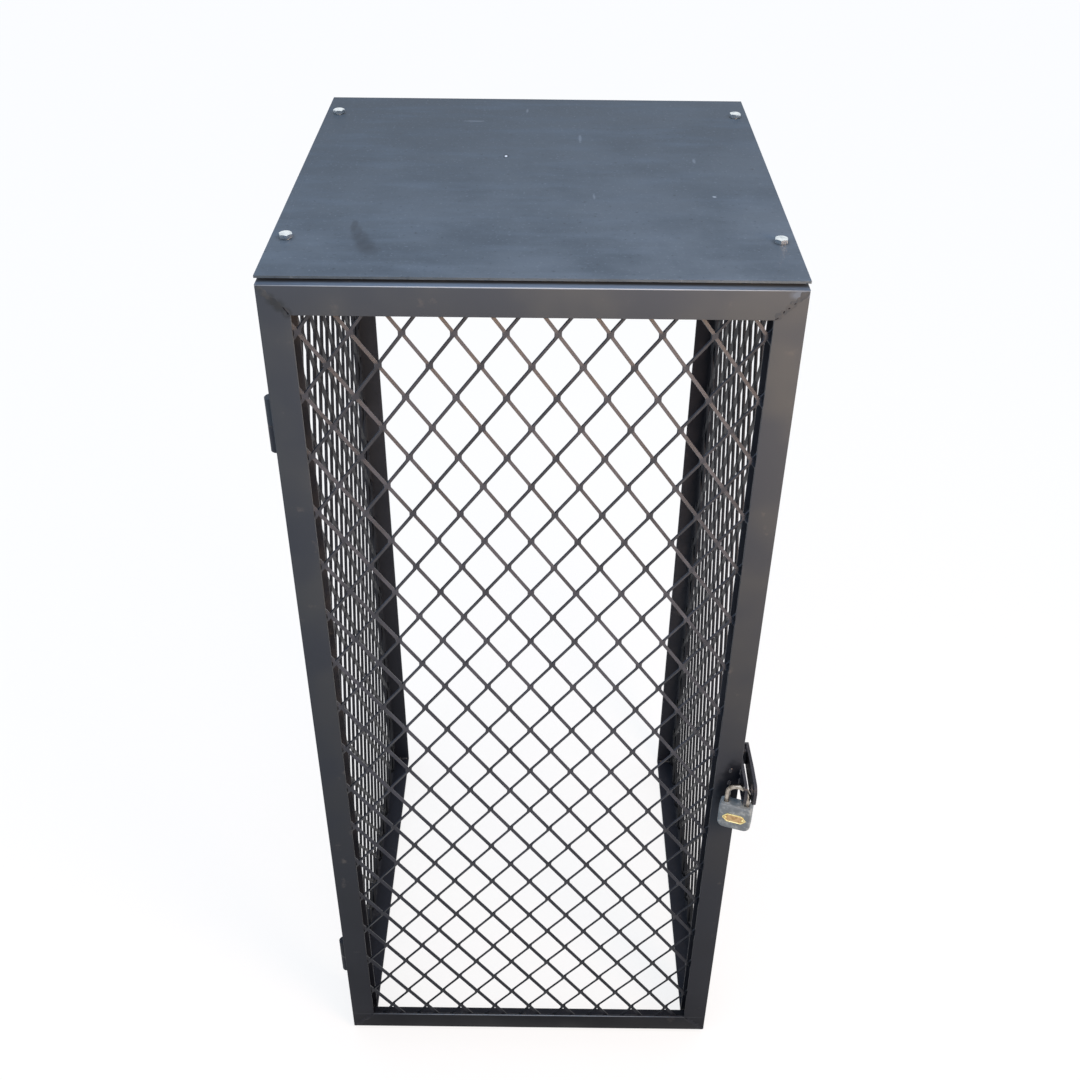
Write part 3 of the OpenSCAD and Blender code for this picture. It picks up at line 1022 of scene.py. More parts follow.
@dataclass(frozen=True)
class AngleBar:
    """Hot-rolled equal angle bar with eased outer edges, rolled root and rounded toes, in mm.

    The four seams of a frame have their own crack marks. Each mark has the shares of the leg
    where it starts and ends, and how far in mm its start lies off the mitre.
    """

    leg: float = CAGE.leg
    wall: float = CAGE.wall
    corner: float = 0.9
    ease: float = 0.3
    toe: float = 1.5
    root: float = 3.0
    corner_steps: int = 4
    toe_steps: int = 3
    root_steps: int = 5
    seam_bead: WeldBead = WeldBead(width=4.6, height=0.14, ripple=5.0, sunk=0.3, waver=0.5)
    seam_short: float = 0.8
    crack_bead: WeldBead = WeldBead(width=0.9, height=0.2, ripple=2.0, sunk=0.1, waver=0.6)
    crack_rise: float = 0.05
    crack_marks: tuple[tuple[Point, ...], ...] = (
        ((0.80, 0.97, 0.2),),
        ((0.58, 0.66, 0.2), (0.84, 0.96, 0.0)),
        ((0.74, 0.95, 1.0),),
        ((0.40, 0.44, 0.5), (0.55, 0.60, 0.3), (0.69, 0.74, -0.4), (0.86, 0.97, 0.5)),
    )
    fillet_bead: WeldBead = WeldBead(width=5.5, height=1.5, sunk=0.6)
    fillet_ends: Pair = (1.0, 1.5)

    def section(self) -> list[Pair]:
        """Draw the L section. The first leg lies along the first axis.

        Returns:
            Its points.
        """
        half = [(self.leg - self.ease, 0.0), (self.leg, self.ease)]
        half += arc(self.leg - self.toe, self.wall - self.toe, self.toe, 0, 90, self.toe_steps)
        bend = self.wall + self.root
        inner = arc(bend, bend, self.root, 270, 180, self.root_steps)
        other = [(y, x) for x, y in reversed(half)]
        outer = arc(self.corner, self.corner, self.corner, 180, 270, self.corner_steps)
        return outer + half + inner + other

    def shape(self, length: float, mitred: bool) -> Shape:
        """Roll the bar along +X, its first leg in the XY plane.

        Args:
            length: The length along its outer corner, in mm.
            mitred: Whether its ends are cut at 45 degrees.

        Returns:
            The bar.
        """
        rings = []
        for end in (0.0, 1.0):
            ring = []
            for y, z in self.section():
                shift = y if mitred else 0.0
                ring.append(at(shift + end * (length - 2 * shift), y, z))
            rings.append(ring)
        return Shape().loft(rings)

    def seam(self, seed: int) -> Shape:
        """Lay the ground seam across the face at the bar's first mitre.

        Args:
            seed: Shifts its ripples.

        Returns:
            The seam.
        """
        a, b = self.corner, self.leg - self.seam_short
        return self.seam_bead.shape((a, a, 0.0), (b, b, 0.0), (0, 0, -1), seed)

    def cracks(self, seed: int) -> Shape:
        """Mark the dark line or pits that the grinding left in a seam.

        Args:
            seed: Picks the seam's own pattern.

        Returns:
            The marks.
        """
        marks = Shape()
        for k, (start, end, off) in enumerate(self.crack_marks[seed % len(self.crack_marks)]):
            a, b, z = start * self.leg, end * self.leg, -self.crack_rise
            mark = self.crack_bead.shape((a + off, a - off, z), (b, b, z), (0, 0, -1), seed + k)
            marks.add(mark)
        return marks

    def fillet(self, seed: int) -> Shape:
        """Lay the weld inside the frame's corner, up the rim at the bar's first mitre.

        Args:
            seed: Shifts its ripples.

        Returns:
            The weld.
        """
        w = self.wall + self.fillet_bead.sunk
        low, high = self.wall + self.fillet_ends[0], self.leg - self.fillet_ends[1]
        return self.fillet_bead.shape((w, w, low), (w, w, high), (1, 1, 0), seed)


@dataclass(frozen=True)
class BarPlace:
    """Where one bar of a frame goes."""

    node: str
    length: float
    place: Matrix
    mitred: bool = True


def lay_bars(places: Sequence[BarPlace], bar: AngleBar, body: Body, finish: Finish) -> None:
    """Build bars that stand for their CAD nodes, and the welds of those that are mitred.

    Args:
        places: The bars and where they go.
        bar: Their section.
        body: The body that they ride on.
        finish: Their finish.
    """
    seams, cracks, fillets = Shape(), Shape(), Shape()
    for i, place in enumerate(places):
        shape = bar.shape(place.length, place.mitred).placed(place.place)
        Piece(f"{place.node}_bar", finish, body, Slot.FRAME, (place.node,)).show(shape)
        if place.mitred:
            seams.add(bar.seam(i).placed(place.place))
            cracks.add(bar.cracks(i).placed(place.place))
            fillets.add(bar.fillet(i + 3).placed(place.place))
    if seams.points:
        label = places[0].node.rsplit("_", 2)[0]
        Piece(f"{label}_ground_seams", SEAM_ENAMEL, body, Slot.FRAME).show(seams)
        Piece(f"{label}_seam_cracks", CRACK_GRIME, body, Slot.FRAME).show(cracks)
        Piece(f"{label}_corner_welds", WELD_ENAMEL, body, Slot.FRAME).show(fillets)


@dataclass(frozen=True)
class SideFrame:
    """One side frame: four mitred bars with their seams."""

    side: Side
    bar: AngleBar = AngleBar()

    def bars(self) -> list[BarPlace]:
        """Place the four bars, each turned a quarter turn from the last.

        Returns:
            The bars.
        """
        c = CAGE
        plan = (
            ("bottom_rail", c.frame_front, 0.0, c.frame_depth),
            ("back_post", c.frame_back, 0.0, c.frame_height),
            ("top_rail", c.frame_back, c.frame_height, c.frame_depth),
            ("front_post", c.frame_front, c.frame_height, c.frame_height),
        )
        name, mirror = self.side.name.lower(), self.side.mirror()
        return [
            BarPlace(
                f"{name}_{part}",
                length,
                mirror @ moved(-c.side, y, z) @ turned(90 * i, 0, 0) @ turned(90, 0, 90),
            )
            for i, (part, y, z, length) in enumerate(plan)
        ]

    def build(self) -> None:
        """Build the bars and their seams."""
        lay_bars(self.bars(), self.bar, Body.CAGE, FRAME_ENAMEL)


@dataclass(frozen=True)
class CrossRails:
    """The two plain bars that join the side frames at the top, with their end welds.

    Each end has a weld under its flat leg and one down its upright leg, both given by how far
    from the outer corner they start and end, in mm.
    """

    bar: AngleBar = AngleBar()
    bead: WeldBead = WeldBead(width=4.0, height=1.2)
    flat_weld: Pair = (2.0, 19.0)
    upright_weld: Pair = (4.0, 20.0)

    def build(self) -> None:
        """Build the rails and welds."""
        c = CAGE
        length, top = c.width - 2 * c.leg, c.frame_height
        front = moved(-length / 2, c.frame_front, top)
        back = moved(length / 2, c.frame_back, top) @ turned(0, 0, 180)
        rails = [
            BarPlace(f"{name}_top_rail", length, place @ turned(-90, 0, 0), False)
            for name, place in (("front", front), ("back", back))
        ]
        lay_bars(rails, self.bar, Body.CAGE, FRAME_ENAMEL)
        ends = [
            (x, y, step)
            for x in (-length / 2, length / 2)
            for y, step in ((c.frame_front + c.wall, 1), (c.frame_back - c.wall, -1))
        ]
        low, beads = top - c.wall, Shape()
        for seed, (x, y, step) in enumerate(ends):
            near, far = (y + off * step for off in self.flat_weld)
            beads.add(self.bead.shape((x, near, low), (x, far, low), (0, 0, -1), seed))
            high, foot = (low - off for off in self.upright_weld)
            beads.add(self.bead.shape((x, y, high), (x, y, foot), (0, step, 0), seed + 9))
        Piece("cross_rail_welds", WELD_ENAMEL, Body.CAGE, Slot.FRAME).show(beads)


@dataclass(frozen=True)
class DoorFrame:
    """The door's four mitred bars with their seams."""

    bar: AngleBar = AngleBar()

    def build(self) -> None:
        """Build the bars and their seams."""
        c = CAGE
        plan = (
            ("bottom_rail", c.side, c.door_low, c.width),
            ("hinge_stile", -c.side, c.door_low, c.door_tall),
            ("top_rail", -c.side, c.door_top, c.width),
            ("lock_stile", c.side, c.door_top, c.door_tall),
        )
        places = [
            BarPlace(
                f"door_{part}",
                length,
                moved(x, c.door_front, z) @ turned(0, 90 * i, 0) @ turned(90, 0, 180),
            )
            for i, (part, x, z, length) in enumerate(plan)
        ]
        lay_bars(places, self.bar, Body.DOOR, DOOR_ENAMEL)


@dataclass(frozen=True)
class ExpandedPanel:
    """Raised expanded metal, cut to a rectangle, in mm.

    Each strand is a flat ribbon that leans about the upright and zigzags between two columns of
    knuckles. Two ribbons lie side by side in each knuckle, where they are still one metal. Each
    bend is eased over a length to both sides and bows by a share of it. The panel stands on its
    place's XZ plane, its outer face at Y 0, and is tacked to its frame.
    """

    node: str
    width: float
    height: float
    row_drop: float
    place: Matrix
    body: Body
    finish: Finish
    shift: float = 0.0
    short_way: float = 40.5
    long_way: float = 57.0
    strand: float = 2.9
    sheet: float = 1.6
    lean: float = 25.0
    knuckle: float = 2.4
    ease: float = 1.0
    bow: float = 0.25
    inset: float = 8.0
    tack: WeldBead = WeldBead(width=4.4, height=1.3, ripple=2.2, sunk=0.4)
    tack_half: float = 3.0
    tack_in: Pair = (2.5, 3.0)
    tack_rows: int = 4
    tack_columns: int = 3
    tack_bite: float = 0.9

    def thickness(self) -> float:
        """Return the panel's depth over the leaning strands."""
        a = math.radians(self.lean)
        return 2 * self.strand * math.sin(a) + self.sheet * math.cos(a)

    def seat(self) -> Matrix:
        """Return where the middle of the panel's depth goes."""
        return self.place @ moved(0, self.thickness() / 2, 0)

    def ribbon(self, column: int, rows: int) -> list[list[Vector]]:
        """Bend one ribbon, from above the panel's top to below its foot.

        Args:
            column: The knuckle column at its left.
            rows: How many rows of knuckles it passes.

        Returns:
            Its rings.
        """
        lean = math.radians(self.lean)
        across = Vector((math.cos(lean), math.sin(lean), 0))
        through = Vector((-math.sin(lean), math.cos(lean), 0)) * (self.sheet / 2)
        half_short, half_long = self.short_way / 2, self.long_way / 2
        offset = across * (self.strand / 2)
        slope = half_short / half_long
        wide = self.strand * math.sqrt(1 + slope * slope)
        k, e = self.knuckle, self.ease
        run = half_long - 2 * k
        low = half_long - k
        rings = []
        for row in range(-2, rows):
            left = Vector((self.shift + column * half_short, 0, 0)) + offset
            right = Vector((self.shift + (column + 1) * half_short, 0, 0)) - offset
            first, second = (left, right) if (row + column) % 2 == 1 else (right, left)
            for stop in (0.0, k - e, k, k + e, half_long / 2, low - e, low, low + e):
                share = min(1.0, max(0.0, (stop - k) / run))
                share += e * self.bow / run * ((stop == k) - (stop == low))
                on_slope = min(1.0, max(0.0, (min(stop, half_long - stop) - k + e) / (2 * e)))
                middle = first.lerp(second, share)
                middle.z = self.height - self.row_drop - row * half_long - stop
                reach = across * ((self.strand + (wide - self.strand) * on_slope) / 2)
                rings.append(
                    [
                        middle - reach - through,
                        middle + reach - through,
                        middle + reach + through,
                        middle - reach + through,
                    ]
                )
        return rings

    def mesh(self) -> bpy.types.Mesh:
        """Join the ribbons to one closed mesh in the row frame.

        The ribbons' rings share their corners in the knuckles. The faces that two ribbons share
        there lie inside the metal and are left out.

        Returns:
            The mesh.
        """
        columns = math.ceil((self.width / 2 + abs(self.shift)) / (self.short_way / 2)) + 1
        rows = math.ceil(self.height / (self.long_way / 2)) + 1
        raw = Shape()
        for column in range(-columns, columns):
            raw.loft(self.ribbon(column, rows), capped=False)
        grid = np.round(np.array([list(p) for p in raw.points]), 5)
        unique, index = np.unique(grid, axis=0, return_inverse=True)
        index = index.reshape(-1)
        faces = [tuple(int(index[i]) for i in f) for f in raw.faces]
        seen: dict[tuple[int, ...], list[int]] = {}
        for number, f in enumerate(faces):
            seen.setdefault(tuple(sorted(f)), []).append(number)
        bm = bmesh.new()
        corners = [bm.verts.new(p) for p in unique]
        for number in sorted(n[0] for n in seen.values() if len(n) == 1):
            bm.faces.new([corners[i] for i in faces[number]])
        self.trim(bm)
        bmesh.ops.transform(bm, matrix=self.seat() @ Matrix.Scale(MM, 4), verts=bm.verts)
        bmesh.ops.recalc_face_normals(bm, faces=bm.faces)
        mesh = bpy.data.meshes.new(self.node)
        bm.to_mesh(mesh)
        bm.free()
        return mesh

    def trim(self, bm: bmesh.types.BMesh) -> None:
        """Cut the strands off at the panel's edges and close their ends.

        Args:
            bm: The strands in mm, before they are placed.
        """
        x = self.width / 2 - self.inset
        cuts = (
            ((-x, 0, 0), (-1, 0, 0)),
            ((x, 0, 0), (1, 0, 0)),
            ((0, 0, self.inset), (0, 0, -1)),
            ((0, 0, self.height - self.inset), (0, 0, 1)),
        )
        for point, away in cuts:
            everything = list(bm.verts) + list(bm.edges) + list(bm.faces)
            bmesh.ops.bisect_plane(
                bm, geom=everything, dist=1e-4, plane_co=point, plane_no=away, clear_outer=True
            )
            open_edges = [e for e in bm.edges if len(e.link_faces) == 1]
            bmesh.ops.holes_fill(bm, edges=open_edges, sides=0)
        loose = [v for v in bm.verts if not v.link_faces]
        bmesh.ops.delete(bm, geom=loose, context="VERTS")

    def tacks(self) -> Shape:
        """Lay the tack welds: upright ones down the sides, flat ones along top and foot.

        Returns:
            The welds.
        """
        half_long, half = self.long_way / 2, self.tack_half
        x_in, z_in = self.tack_in
        x_edge = self.width / 2 - self.inset - x_in
        y = -self.thickness() / 2 + self.tack_bite
        ends = []
        for row in range(1, int(self.height / half_long) - 1, self.tack_rows):
            z = self.height - self.row_drop - row * half_long
            ends += [((x, y, z - half), (x, y, z + half)) for x in (-x_edge, x_edge)]
        for column in range(-self.tack_columns, self.tack_columns + 1):
            x = self.shift + column * self.short_way
            for z in (self.inset + z_in, self.height - self.inset - z_in):
                ends.append(((x - half, y, z), (x + half, y, z)))
        shape = Shape()
        for seed, (start, end) in enumerate(ends):
            shape.add(self.tack.shape(start, end, (0, 1, 0), seed))
        return shape.placed(self.seat())

    def build(self) -> None:
        """Build the panel and its tack welds."""
        strands = Piece(
            f"{self.node}_strands", self.finish, self.body, Slot.MESH, (self.node,)
        )
        strands.show(self.mesh())
        Piece(f"{self.node}_tacks", WELD_ENAMEL, self.body, Slot.MESH).show(self.tacks())


@dataclass(frozen=True)
class MeshPanels:
    """The three mesh panels: one along each side, and one behind the door frame's wall.

    Each was cut so that its first row of knuckles lies this far below its top, in mm. The side
    panels' columns are shifted along the cage.
    """

    left_drop: float = 50.0
    right_drop: float = 21.5
    door_drop: float = 41.0
    side_shift: float = -6.3

    def on_side(self, side: Side, row_drop: float) -> ExpandedPanel:
        """Size a side's panel, which stands along Y behind the side frame's wall.

        Args:
            side: Which side.
            row_drop: The drop of its first row of knuckles, in mm.

        Returns:
            The panel.
        """
        c = CAGE
        quarter = Matrix(((0, 1, 0, 0), (1, 0, 0, 0), (0, 0, 1, 0), (0, 0, 0, 1)))
        middle = c.frame_front + c.frame_depth / 2
        return ExpandedPanel(
            f"{side.name.lower()}_mesh",
            c.frame_depth,
            c.frame_height,
            row_drop,
            side.mirror() @ moved(-c.side + c.wall, middle, 0) @ quarter,
            Body.CAGE,
            SIDE_MESH_PAINTED_SHADE_ENAMEL,
            self.side_shift,
        )

    def on_door(self) -> ExpandedPanel:
        """Size the door's panel, which stands behind the door frame's wall.

        Returns:
            The panel.
        """
        c = CAGE
        place = moved(0, c.door_front + c.wall, c.door_low)
        return ExpandedPanel(
            "door_mesh", c.width, c.door_tall, self.door_drop, place, Body.DOOR, MESH_ENAMEL
        )

    def build(self) -> None:
        """Build the panels: left, right and door."""
        self.on_side(Side.LEFT, self.left_drop).build()
        self.on_side(Side.RIGHT, self.right_drop).build()
        self.on_door().build()


@dataclass(frozen=True)
class HexFastener:
    """A hexagon head or nut with turned chamfers, in mm. A head stands on a washer face."""

    flats: float = 10.0
    crown: float = 9.4
    slope: float = 30.0
    face: float = 0.97
    face_tall: float = 0.4
    points_round: int = 72

    def rings(self, low: float, high: float, both: bool) -> list[list[Vector]]:
        """Turn the head or nut, from the foot up.

        Args:
            low: Z of the foot.
            high: Z of the top.
            both: Whether the foot is chamfered too, as on a nut.

        Returns:
            Its rings.
        """
        count, sixth = self.points_round, math.pi / 3
        turns = [2 * math.pi * i / count for i in range(count)]
        outer = [self.flats / 2 / math.cos((a + sixth / 2) % sixth - sixth / 2) for a in turns]
        crown, fall = self.crown / 2, math.tan(math.radians(self.slope))
        drop = [max(0.0, r - crown) * fall for r in outer]
        levels = [(outer, [high - d for d in drop]), ([crown] * count, [high] * count)]
        if both:
            levels = [([crown] * count, [low] * count), (outer, [low + d for d in drop]), *levels]
        else:
            face, rise = [crown * self.face] * count, [low + self.face_tall] * count
            levels = [(face, [low] * count), (face, rise), (outer, rise), *levels]
        return [
            [at(r * math.cos(a), r * math.sin(a), z) for r, a, z in zip(radii, turns, heights)]
            for radii, heights in levels
        ]


@dataclass(frozen=True)
class TopSheet:
    """The bolted top sheet, with its hexagon bolts and nuts, in mm.

    The threads fade out under the head, and the shank's end is turned to a blunt point.
    """

    head: HexFastener = HexFastener()
    sheet_t: float = 2.0
    head_h: float = 4.0
    nut_h: float = 5.0
    shank_d: float = 6.0
    length: float = 16.0
    pitch: float = 1.0
    thread_deep: float = 0.54
    fade: Pair = (0.8, 0.25)
    blunt: Pair = (0.5, 0.8)
    sides: int = 24
    per_turn: int = 8
    spin: float = 17.0
    crease: float = 28.0

    def thread(self, low: float, high: float) -> Shape:
        """Cut a threaded shank.

        Args:
            low: Z of its end.
            high: Z of its top, under the head.

        Returns:
            The shank.
        """
        count = int((high - low) / self.pitch * self.per_turn)
        rings = []
        for i in range(count + 1):
            z = low + (high - low) * i / count
            fade = min(1.0, (high - z) / self.fade[0] + self.fade[1])
            blunt = max(0.0, self.blunt[0] - (z - low)) * self.blunt[1]
            ring = []
            for k in range(self.sides):
                phase = (z / self.pitch + k / self.sides) % 1.0
                r = self.shank_d / 2 - self.thread_deep * abs(2 * phase - 1) * fade - blunt
                a = 2 * math.pi * k / self.sides
                ring.append(at(r * math.cos(a), r * math.sin(a), z))
            rings.append(ring)
        return Shape().loft(rings)

    def fasten(self, kind: Fastener, corner: str, shape: Shape, place: Matrix) -> None:
        """Show a bolt or nut.

        Args:
            kind: Whether it is a bolt or a nut.
            corner: The corner of the sheet that it holds.
            shape: Its shape round the Z axis.
            place: Where it goes.
        """
        name, node = f"{kind.value}_{corner}", f"top_{kind.value}s"
        piece = Piece(name, ZINC, Body.CAGE, Slot.ZINC, (node,), self.crease)
        piece.show(shape.placed(place))

    def build(self) -> None:
        """Build the bolts, each head turned its own way, and the nuts, and dress the sheet."""
        dress(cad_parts["top_plate"], SHEET_ENAMEL)
        top = CAGE.frame_height + self.sheet_t
        under = CAGE.frame_height - CAGE.wall
        corners = [
            (f"{depth}_{where}", x, y)
            for where, x in (("left", -BOLT_X), ("right", BOLT_X))
            for depth, y in zip(("front", "back"), BOLT_Y)
        ]
        for number, (corner, x, y) in enumerate(corners, 1):
            bolt = Shape().loft(self.head.rings(top, top + self.head_h, False))
            bolt.add(self.thread(top - self.length, top))
            place = moved(x, y, 0)
            turn = turned(0, 0, self.spin * number)
            self.fasten(Fastener.BOLT, corner, bolt, place @ turn)
            nut = Shape().loft(self.head.rings(under - self.nut_h, under, True))
            self.fasten(Fastener.NUT, corner, nut, place)


@dataclass(frozen=True)
class Hinges:
    """The two turned hinges in mm: their CAD barrels, pins and washers, and their welds.

    The lower half of each is welded to the post and the upper half to the door's stile, each by
    a bead this far off the axis that stops short of the barrel's ends.
    """

    axis_y: float = -182.5
    lows: Pair = (804.2, 84.7)
    half: float = 25.5
    washer: float = 1.6
    bead: WeldBead = WeldBead(width=3.6, height=1.3)
    off: float = 4.9
    short: float = 2.5
    sunk: float = 0.1
    lean: float = 0.7

    def build(self) -> None:
        """Dress the hinge nodes and lay their welds."""
        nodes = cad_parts
        for name in ("upper", "lower"):
            dress(nodes[f"{name}_hinge_body_barrel"], FRAME_ENAMEL)
            dress(nodes[f"{name}_hinge_door_barrel"], DOOR_ENAMEL)
            dress(nodes[f"{name}_hinge_pin"], GROUND_STEEL)
            dress(nodes[f"{name}_hinge_washer"], WELD_ENAMEL)
        x, body, door = -CAGE.side - self.sunk, Shape(), Shape()
        for seed, low in enumerate(self.lows):
            high = low + 2 * self.half + self.washer
            for way, foot, head, target in (
                (1, low, low + self.half, body),
                (-1, high - self.half, high, door),
            ):
                y = self.axis_y + way * self.off
                ends = ((x, y, foot + self.short), (x, y, head - self.short))
                target.add(self.bead.shape(*ends, (-1, way * self.lean, 0), seed))
        Piece("hinge_post_welds", WELD_ENAMEL, Body.CAGE, Slot.FRAME).show(body)
        Piece("hinge_stile_welds", WELD_ENAMEL, Body.DOOR, Slot.FRAME).show(door)


@dataclass(frozen=True)
class LockLugs:
    """The door's lug, the body's lug and its spacer in mm: CAD plates, eased, and their welds.

    A corner's bead bulges out of the corner, tilted towards one of its faces by this share.
    """

    gap: float = 6.4
    door_low: float = 429.0
    door_high: float = 455.0
    seat_low: float = 433.0
    seat_high: float = 451.0
    seat: float = 13.0
    ease: float = 0.45
    crease: float = 50.0
    bead: WeldBead = WeldBead(width=3.8, height=1.4)
    proud: float = 0.2
    door_bead: Pair = (1.5, 11.0)
    face_beads_in: Pair = (11.0, 10.0)
    face_beads_z: tuple[Pair, ...] = ((430.0, 437.0), (447.0, 454.0))
    seat_short: float = 1.5
    door_lean: float = 0.5
    body_lean: float = 0.4

    def dress_plates(self) -> None:
        """Dress the plates and ease their edges."""
        for node, finish in (
            ("door_lock_lug", WELD_ENAMEL),
            ("body_lock_lug", FRAME_ENAMEL),
            ("body_lug_spacer", FRAME_ENAMEL),
        ):
            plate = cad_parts[node]
            dress(plate, finish)
            edges = plate.modifiers.new("eased_edges", "BEVEL")
            edges.width, edges.segments = self.ease * MM, 2
            edges.limit_method, edges.angle_limit = "ANGLE", math.radians(self.crease)

    def door_welds(self) -> Shape:
        """Lay the beads in the lug's corner with the stile, and on the stile's face.

        Returns:
            The beads.
        """
        x, y = CAGE.side + self.proud, CAGE.door_front
        near, far = self.door_bead
        welds = Shape()
        for low, high, seed in (
            (self.door_low + near, self.door_low + far, 1),
            (self.door_high - far, self.door_high - near, 4),
        ):
            way = (-self.door_lean, -1, 0)
            welds.add(self.bead.shape((x, y, low), (x, y, high), way, seed))
        foot, head = (x - off for off in self.face_beads_in)
        for seed, (low, high) in enumerate(self.face_beads_z, 6):
            welds.add(self.bead.shape((foot, y, low), (head, y, high), (0, -1, 0), seed))
        return welds

    def body_welds(self) -> Shape:
        """Lay the beads above and below the spacer, on the post and on the lug.

        Returns:
            The beads.
        """
        outer = CAGE.side + CAGE.wall + self.gap
        front = CAGE.frame_front + self.seat_short
        back = CAGE.frame_front + self.seat - self.seat_short
        welds = Shape()
        for seed, (z, up) in enumerate(((self.seat_low, -1), (self.seat_high, 1))):
            for x, lean, spin in ((CAGE.side, 1, seed), (outer, -self.body_lean, seed + 5)):
                welds.add(self.bead.shape((x, front, z), (x, back, z), (lean, 0, up), spin))
        return welds

    def build(self) -> None:
        """Dress the plates and lay the welds."""
        self.dress_plates()
        Piece("door_lug_welds", WELD_ENAMEL, Body.DOOR, Slot.FRAME).show(self.door_welds())
        Piece("body_lug_welds", WELD_ENAMEL, Body.CAGE, Slot.FRAME).show(self.body_welds())


@dataclass(frozen=True)
class RoundedSlab:
    """A flat slab in mm with round corners and eased edges, lying in its own XY plane."""

    width: float
    height: float
    thick: float
    corners: tuple[float, float, float, float]
    edge: float
    steps: int = 8
    edge_steps: int = 4
    least_corner: float = 0.05

    def outline(self, inset: float) -> list[Pair]:
        """Draw the outline, from the lower left corner round.

        Args:
            inset: How far the outline is drawn in.

        Returns:
            Its points.
        """
        w, h = self.width / 2 - inset, self.height / 2 - inset
        plan = zip(((-1, -1, 180), (1, -1, 270), (1, 1, 0), (-1, 1, 90)), self.corners)
        points: list[Pair] = []
        for (sx, sy, start), corner in plan:
            r = max(self.least_corner, corner - inset)
            points += arc(sx * (w - r), sy * (h - r), r, start, start + 90, self.steps)
        return points

    def shape(self) -> Shape:
        """Make the slab, centred on its own origin.

        Returns:
            The slab.
        """
        levels = []
        for i in range(self.edge_steps + 1):
            a = math.pi / 2 * i / self.edge_steps
            inset, rise = self.edge * (1 - math.sin(a)), self.edge * (1 - math.cos(a))
            levels.append((inset, -self.thick / 2 + rise))
        levels += [(inset, -z) for inset, z in reversed(levels)]
        return Shape().loft([[at(x, y, z) for x, y in self.outline(i)] for i, z in levels])


@dataclass(frozen=True)
class DogSpring:
    """The coil spring behind the locking dog, in mm and in the padlock's own directions."""

    fixed_end: float = -6.5
    free_end: float = -2.3
    drop: float = 6.8
    outer: float = 3.0
    wire: float = 0.5
    turns: float = 4.0
    dog_travel: float = 2.5
    steps: int = 24
    sides: int = 8

    def coil(self) -> Shape:
        """Sweep the wire along its helix.

        Returns:
            The wire.
        """
        start, length = self.fixed_end + self.wire / 2, self.free_end - self.fixed_end - self.wire
        radius, count = (self.outer - self.wire) / 2, int(self.turns * self.steps)
        way = Vector((1, 0, 0))
        rings = []
        for i in range(count + 1):
            turn = 2 * math.pi * i / self.steps
            out = Vector((0, math.cos(turn), math.sin(turn)))
            middle = Vector((start + length * i / count, 0, -self.drop)) + out * radius
            ring = []
            for k in range(self.sides):
                a = 2 * math.pi * k / self.sides
                ring.append((middle + (out * math.cos(a) + way * math.sin(a)) * self.wire / 2) * MM)
            rings.append(ring)
        return Shape().loft(rings)

    def build(self, place: Matrix) -> None:
        """Build the spring on a mesh of its own. The real spring shortens towards its fixed end
        when the dog is drawn back.

        Args:
            place: Where the middle of the case's top face is.
        """
        node = "padlock_dog_spring"
        piece = Piece("dog_spring_wire", GROUND_STEEL, Body.PADLOCK, Slot.STEEL, (node,))
        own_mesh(piece.show(self.coil().placed(place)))


@dataclass(frozen=True)
class Badge:
    """The padlock's pressed badge in mm: a raised rim round a sunk field, blank.

    Its ends are clipped to a blunt round tip. The levels of the rim and of the field are how far
    they are drawn in from the outline, and how far they lie below the badge's top.
    """

    width: float = 24.0
    tall: float = 11.0
    thick: float = 0.8
    tip: float = 1.2
    tip_turn: float = 50.0
    tip_steps: int = 4
    clip: float = 4.6
    shoulder: Pair = (3.4, 0.78)
    crease: float = 25.0
    rim: tuple[Pair, ...] = ((0.0, 0.8), (0.0, 0.25), (0.25, 0.0), (0.9, 0.0), (1.15, 0.3))
    sunk: tuple[Pair, ...] = ((1.1, 0.52), (1.1, 0.28), (1.5, 0.22), (2.2, 0.22))

    def outline(self, inset: float) -> list[Pair]:
        """Draw the outline.

        Args:
            inset: How far the outline is drawn in.

        Returns:
            Its points.
        """
        half, tall = self.width / 2 - inset, self.tall / 2 - inset
        turn = self.tip_turn
        tip = arc(half - self.tip, 0, self.tip, -turn, turn, self.tip_steps)
        x, y = half - self.shoulder[0], tall * self.shoulder[1]
        right = [(half - self.clip, -tall), (x, -y), *tip, (x, y), (half - self.clip, tall)]
        return right + [(-x, -y) for x, y in right]

    def build(self, face: Matrix) -> None:
        """Build the rim and the field.

        Args:
            face: Where the middle of the case's front is, with Z outwards.
        """
        for name, levels, finish, stands_for in (
            ("rim", self.rim, BADGE_RIM, ("padlock_badge",)),
            ("field", self.sunk, BADGE_FIELD, ()),
        ):
            rings = [
                [at(x, y, self.thick - drop) for x, y in self.outline(inset)]
                for inset, drop in levels
            ]
            piece = Piece(
                f"padlock_badge_{name}", finish, Body.PADLOCK, Slot.BRASS, stands_for, self.crease
            )
            piece.show(Shape().loft(rings).placed(face))


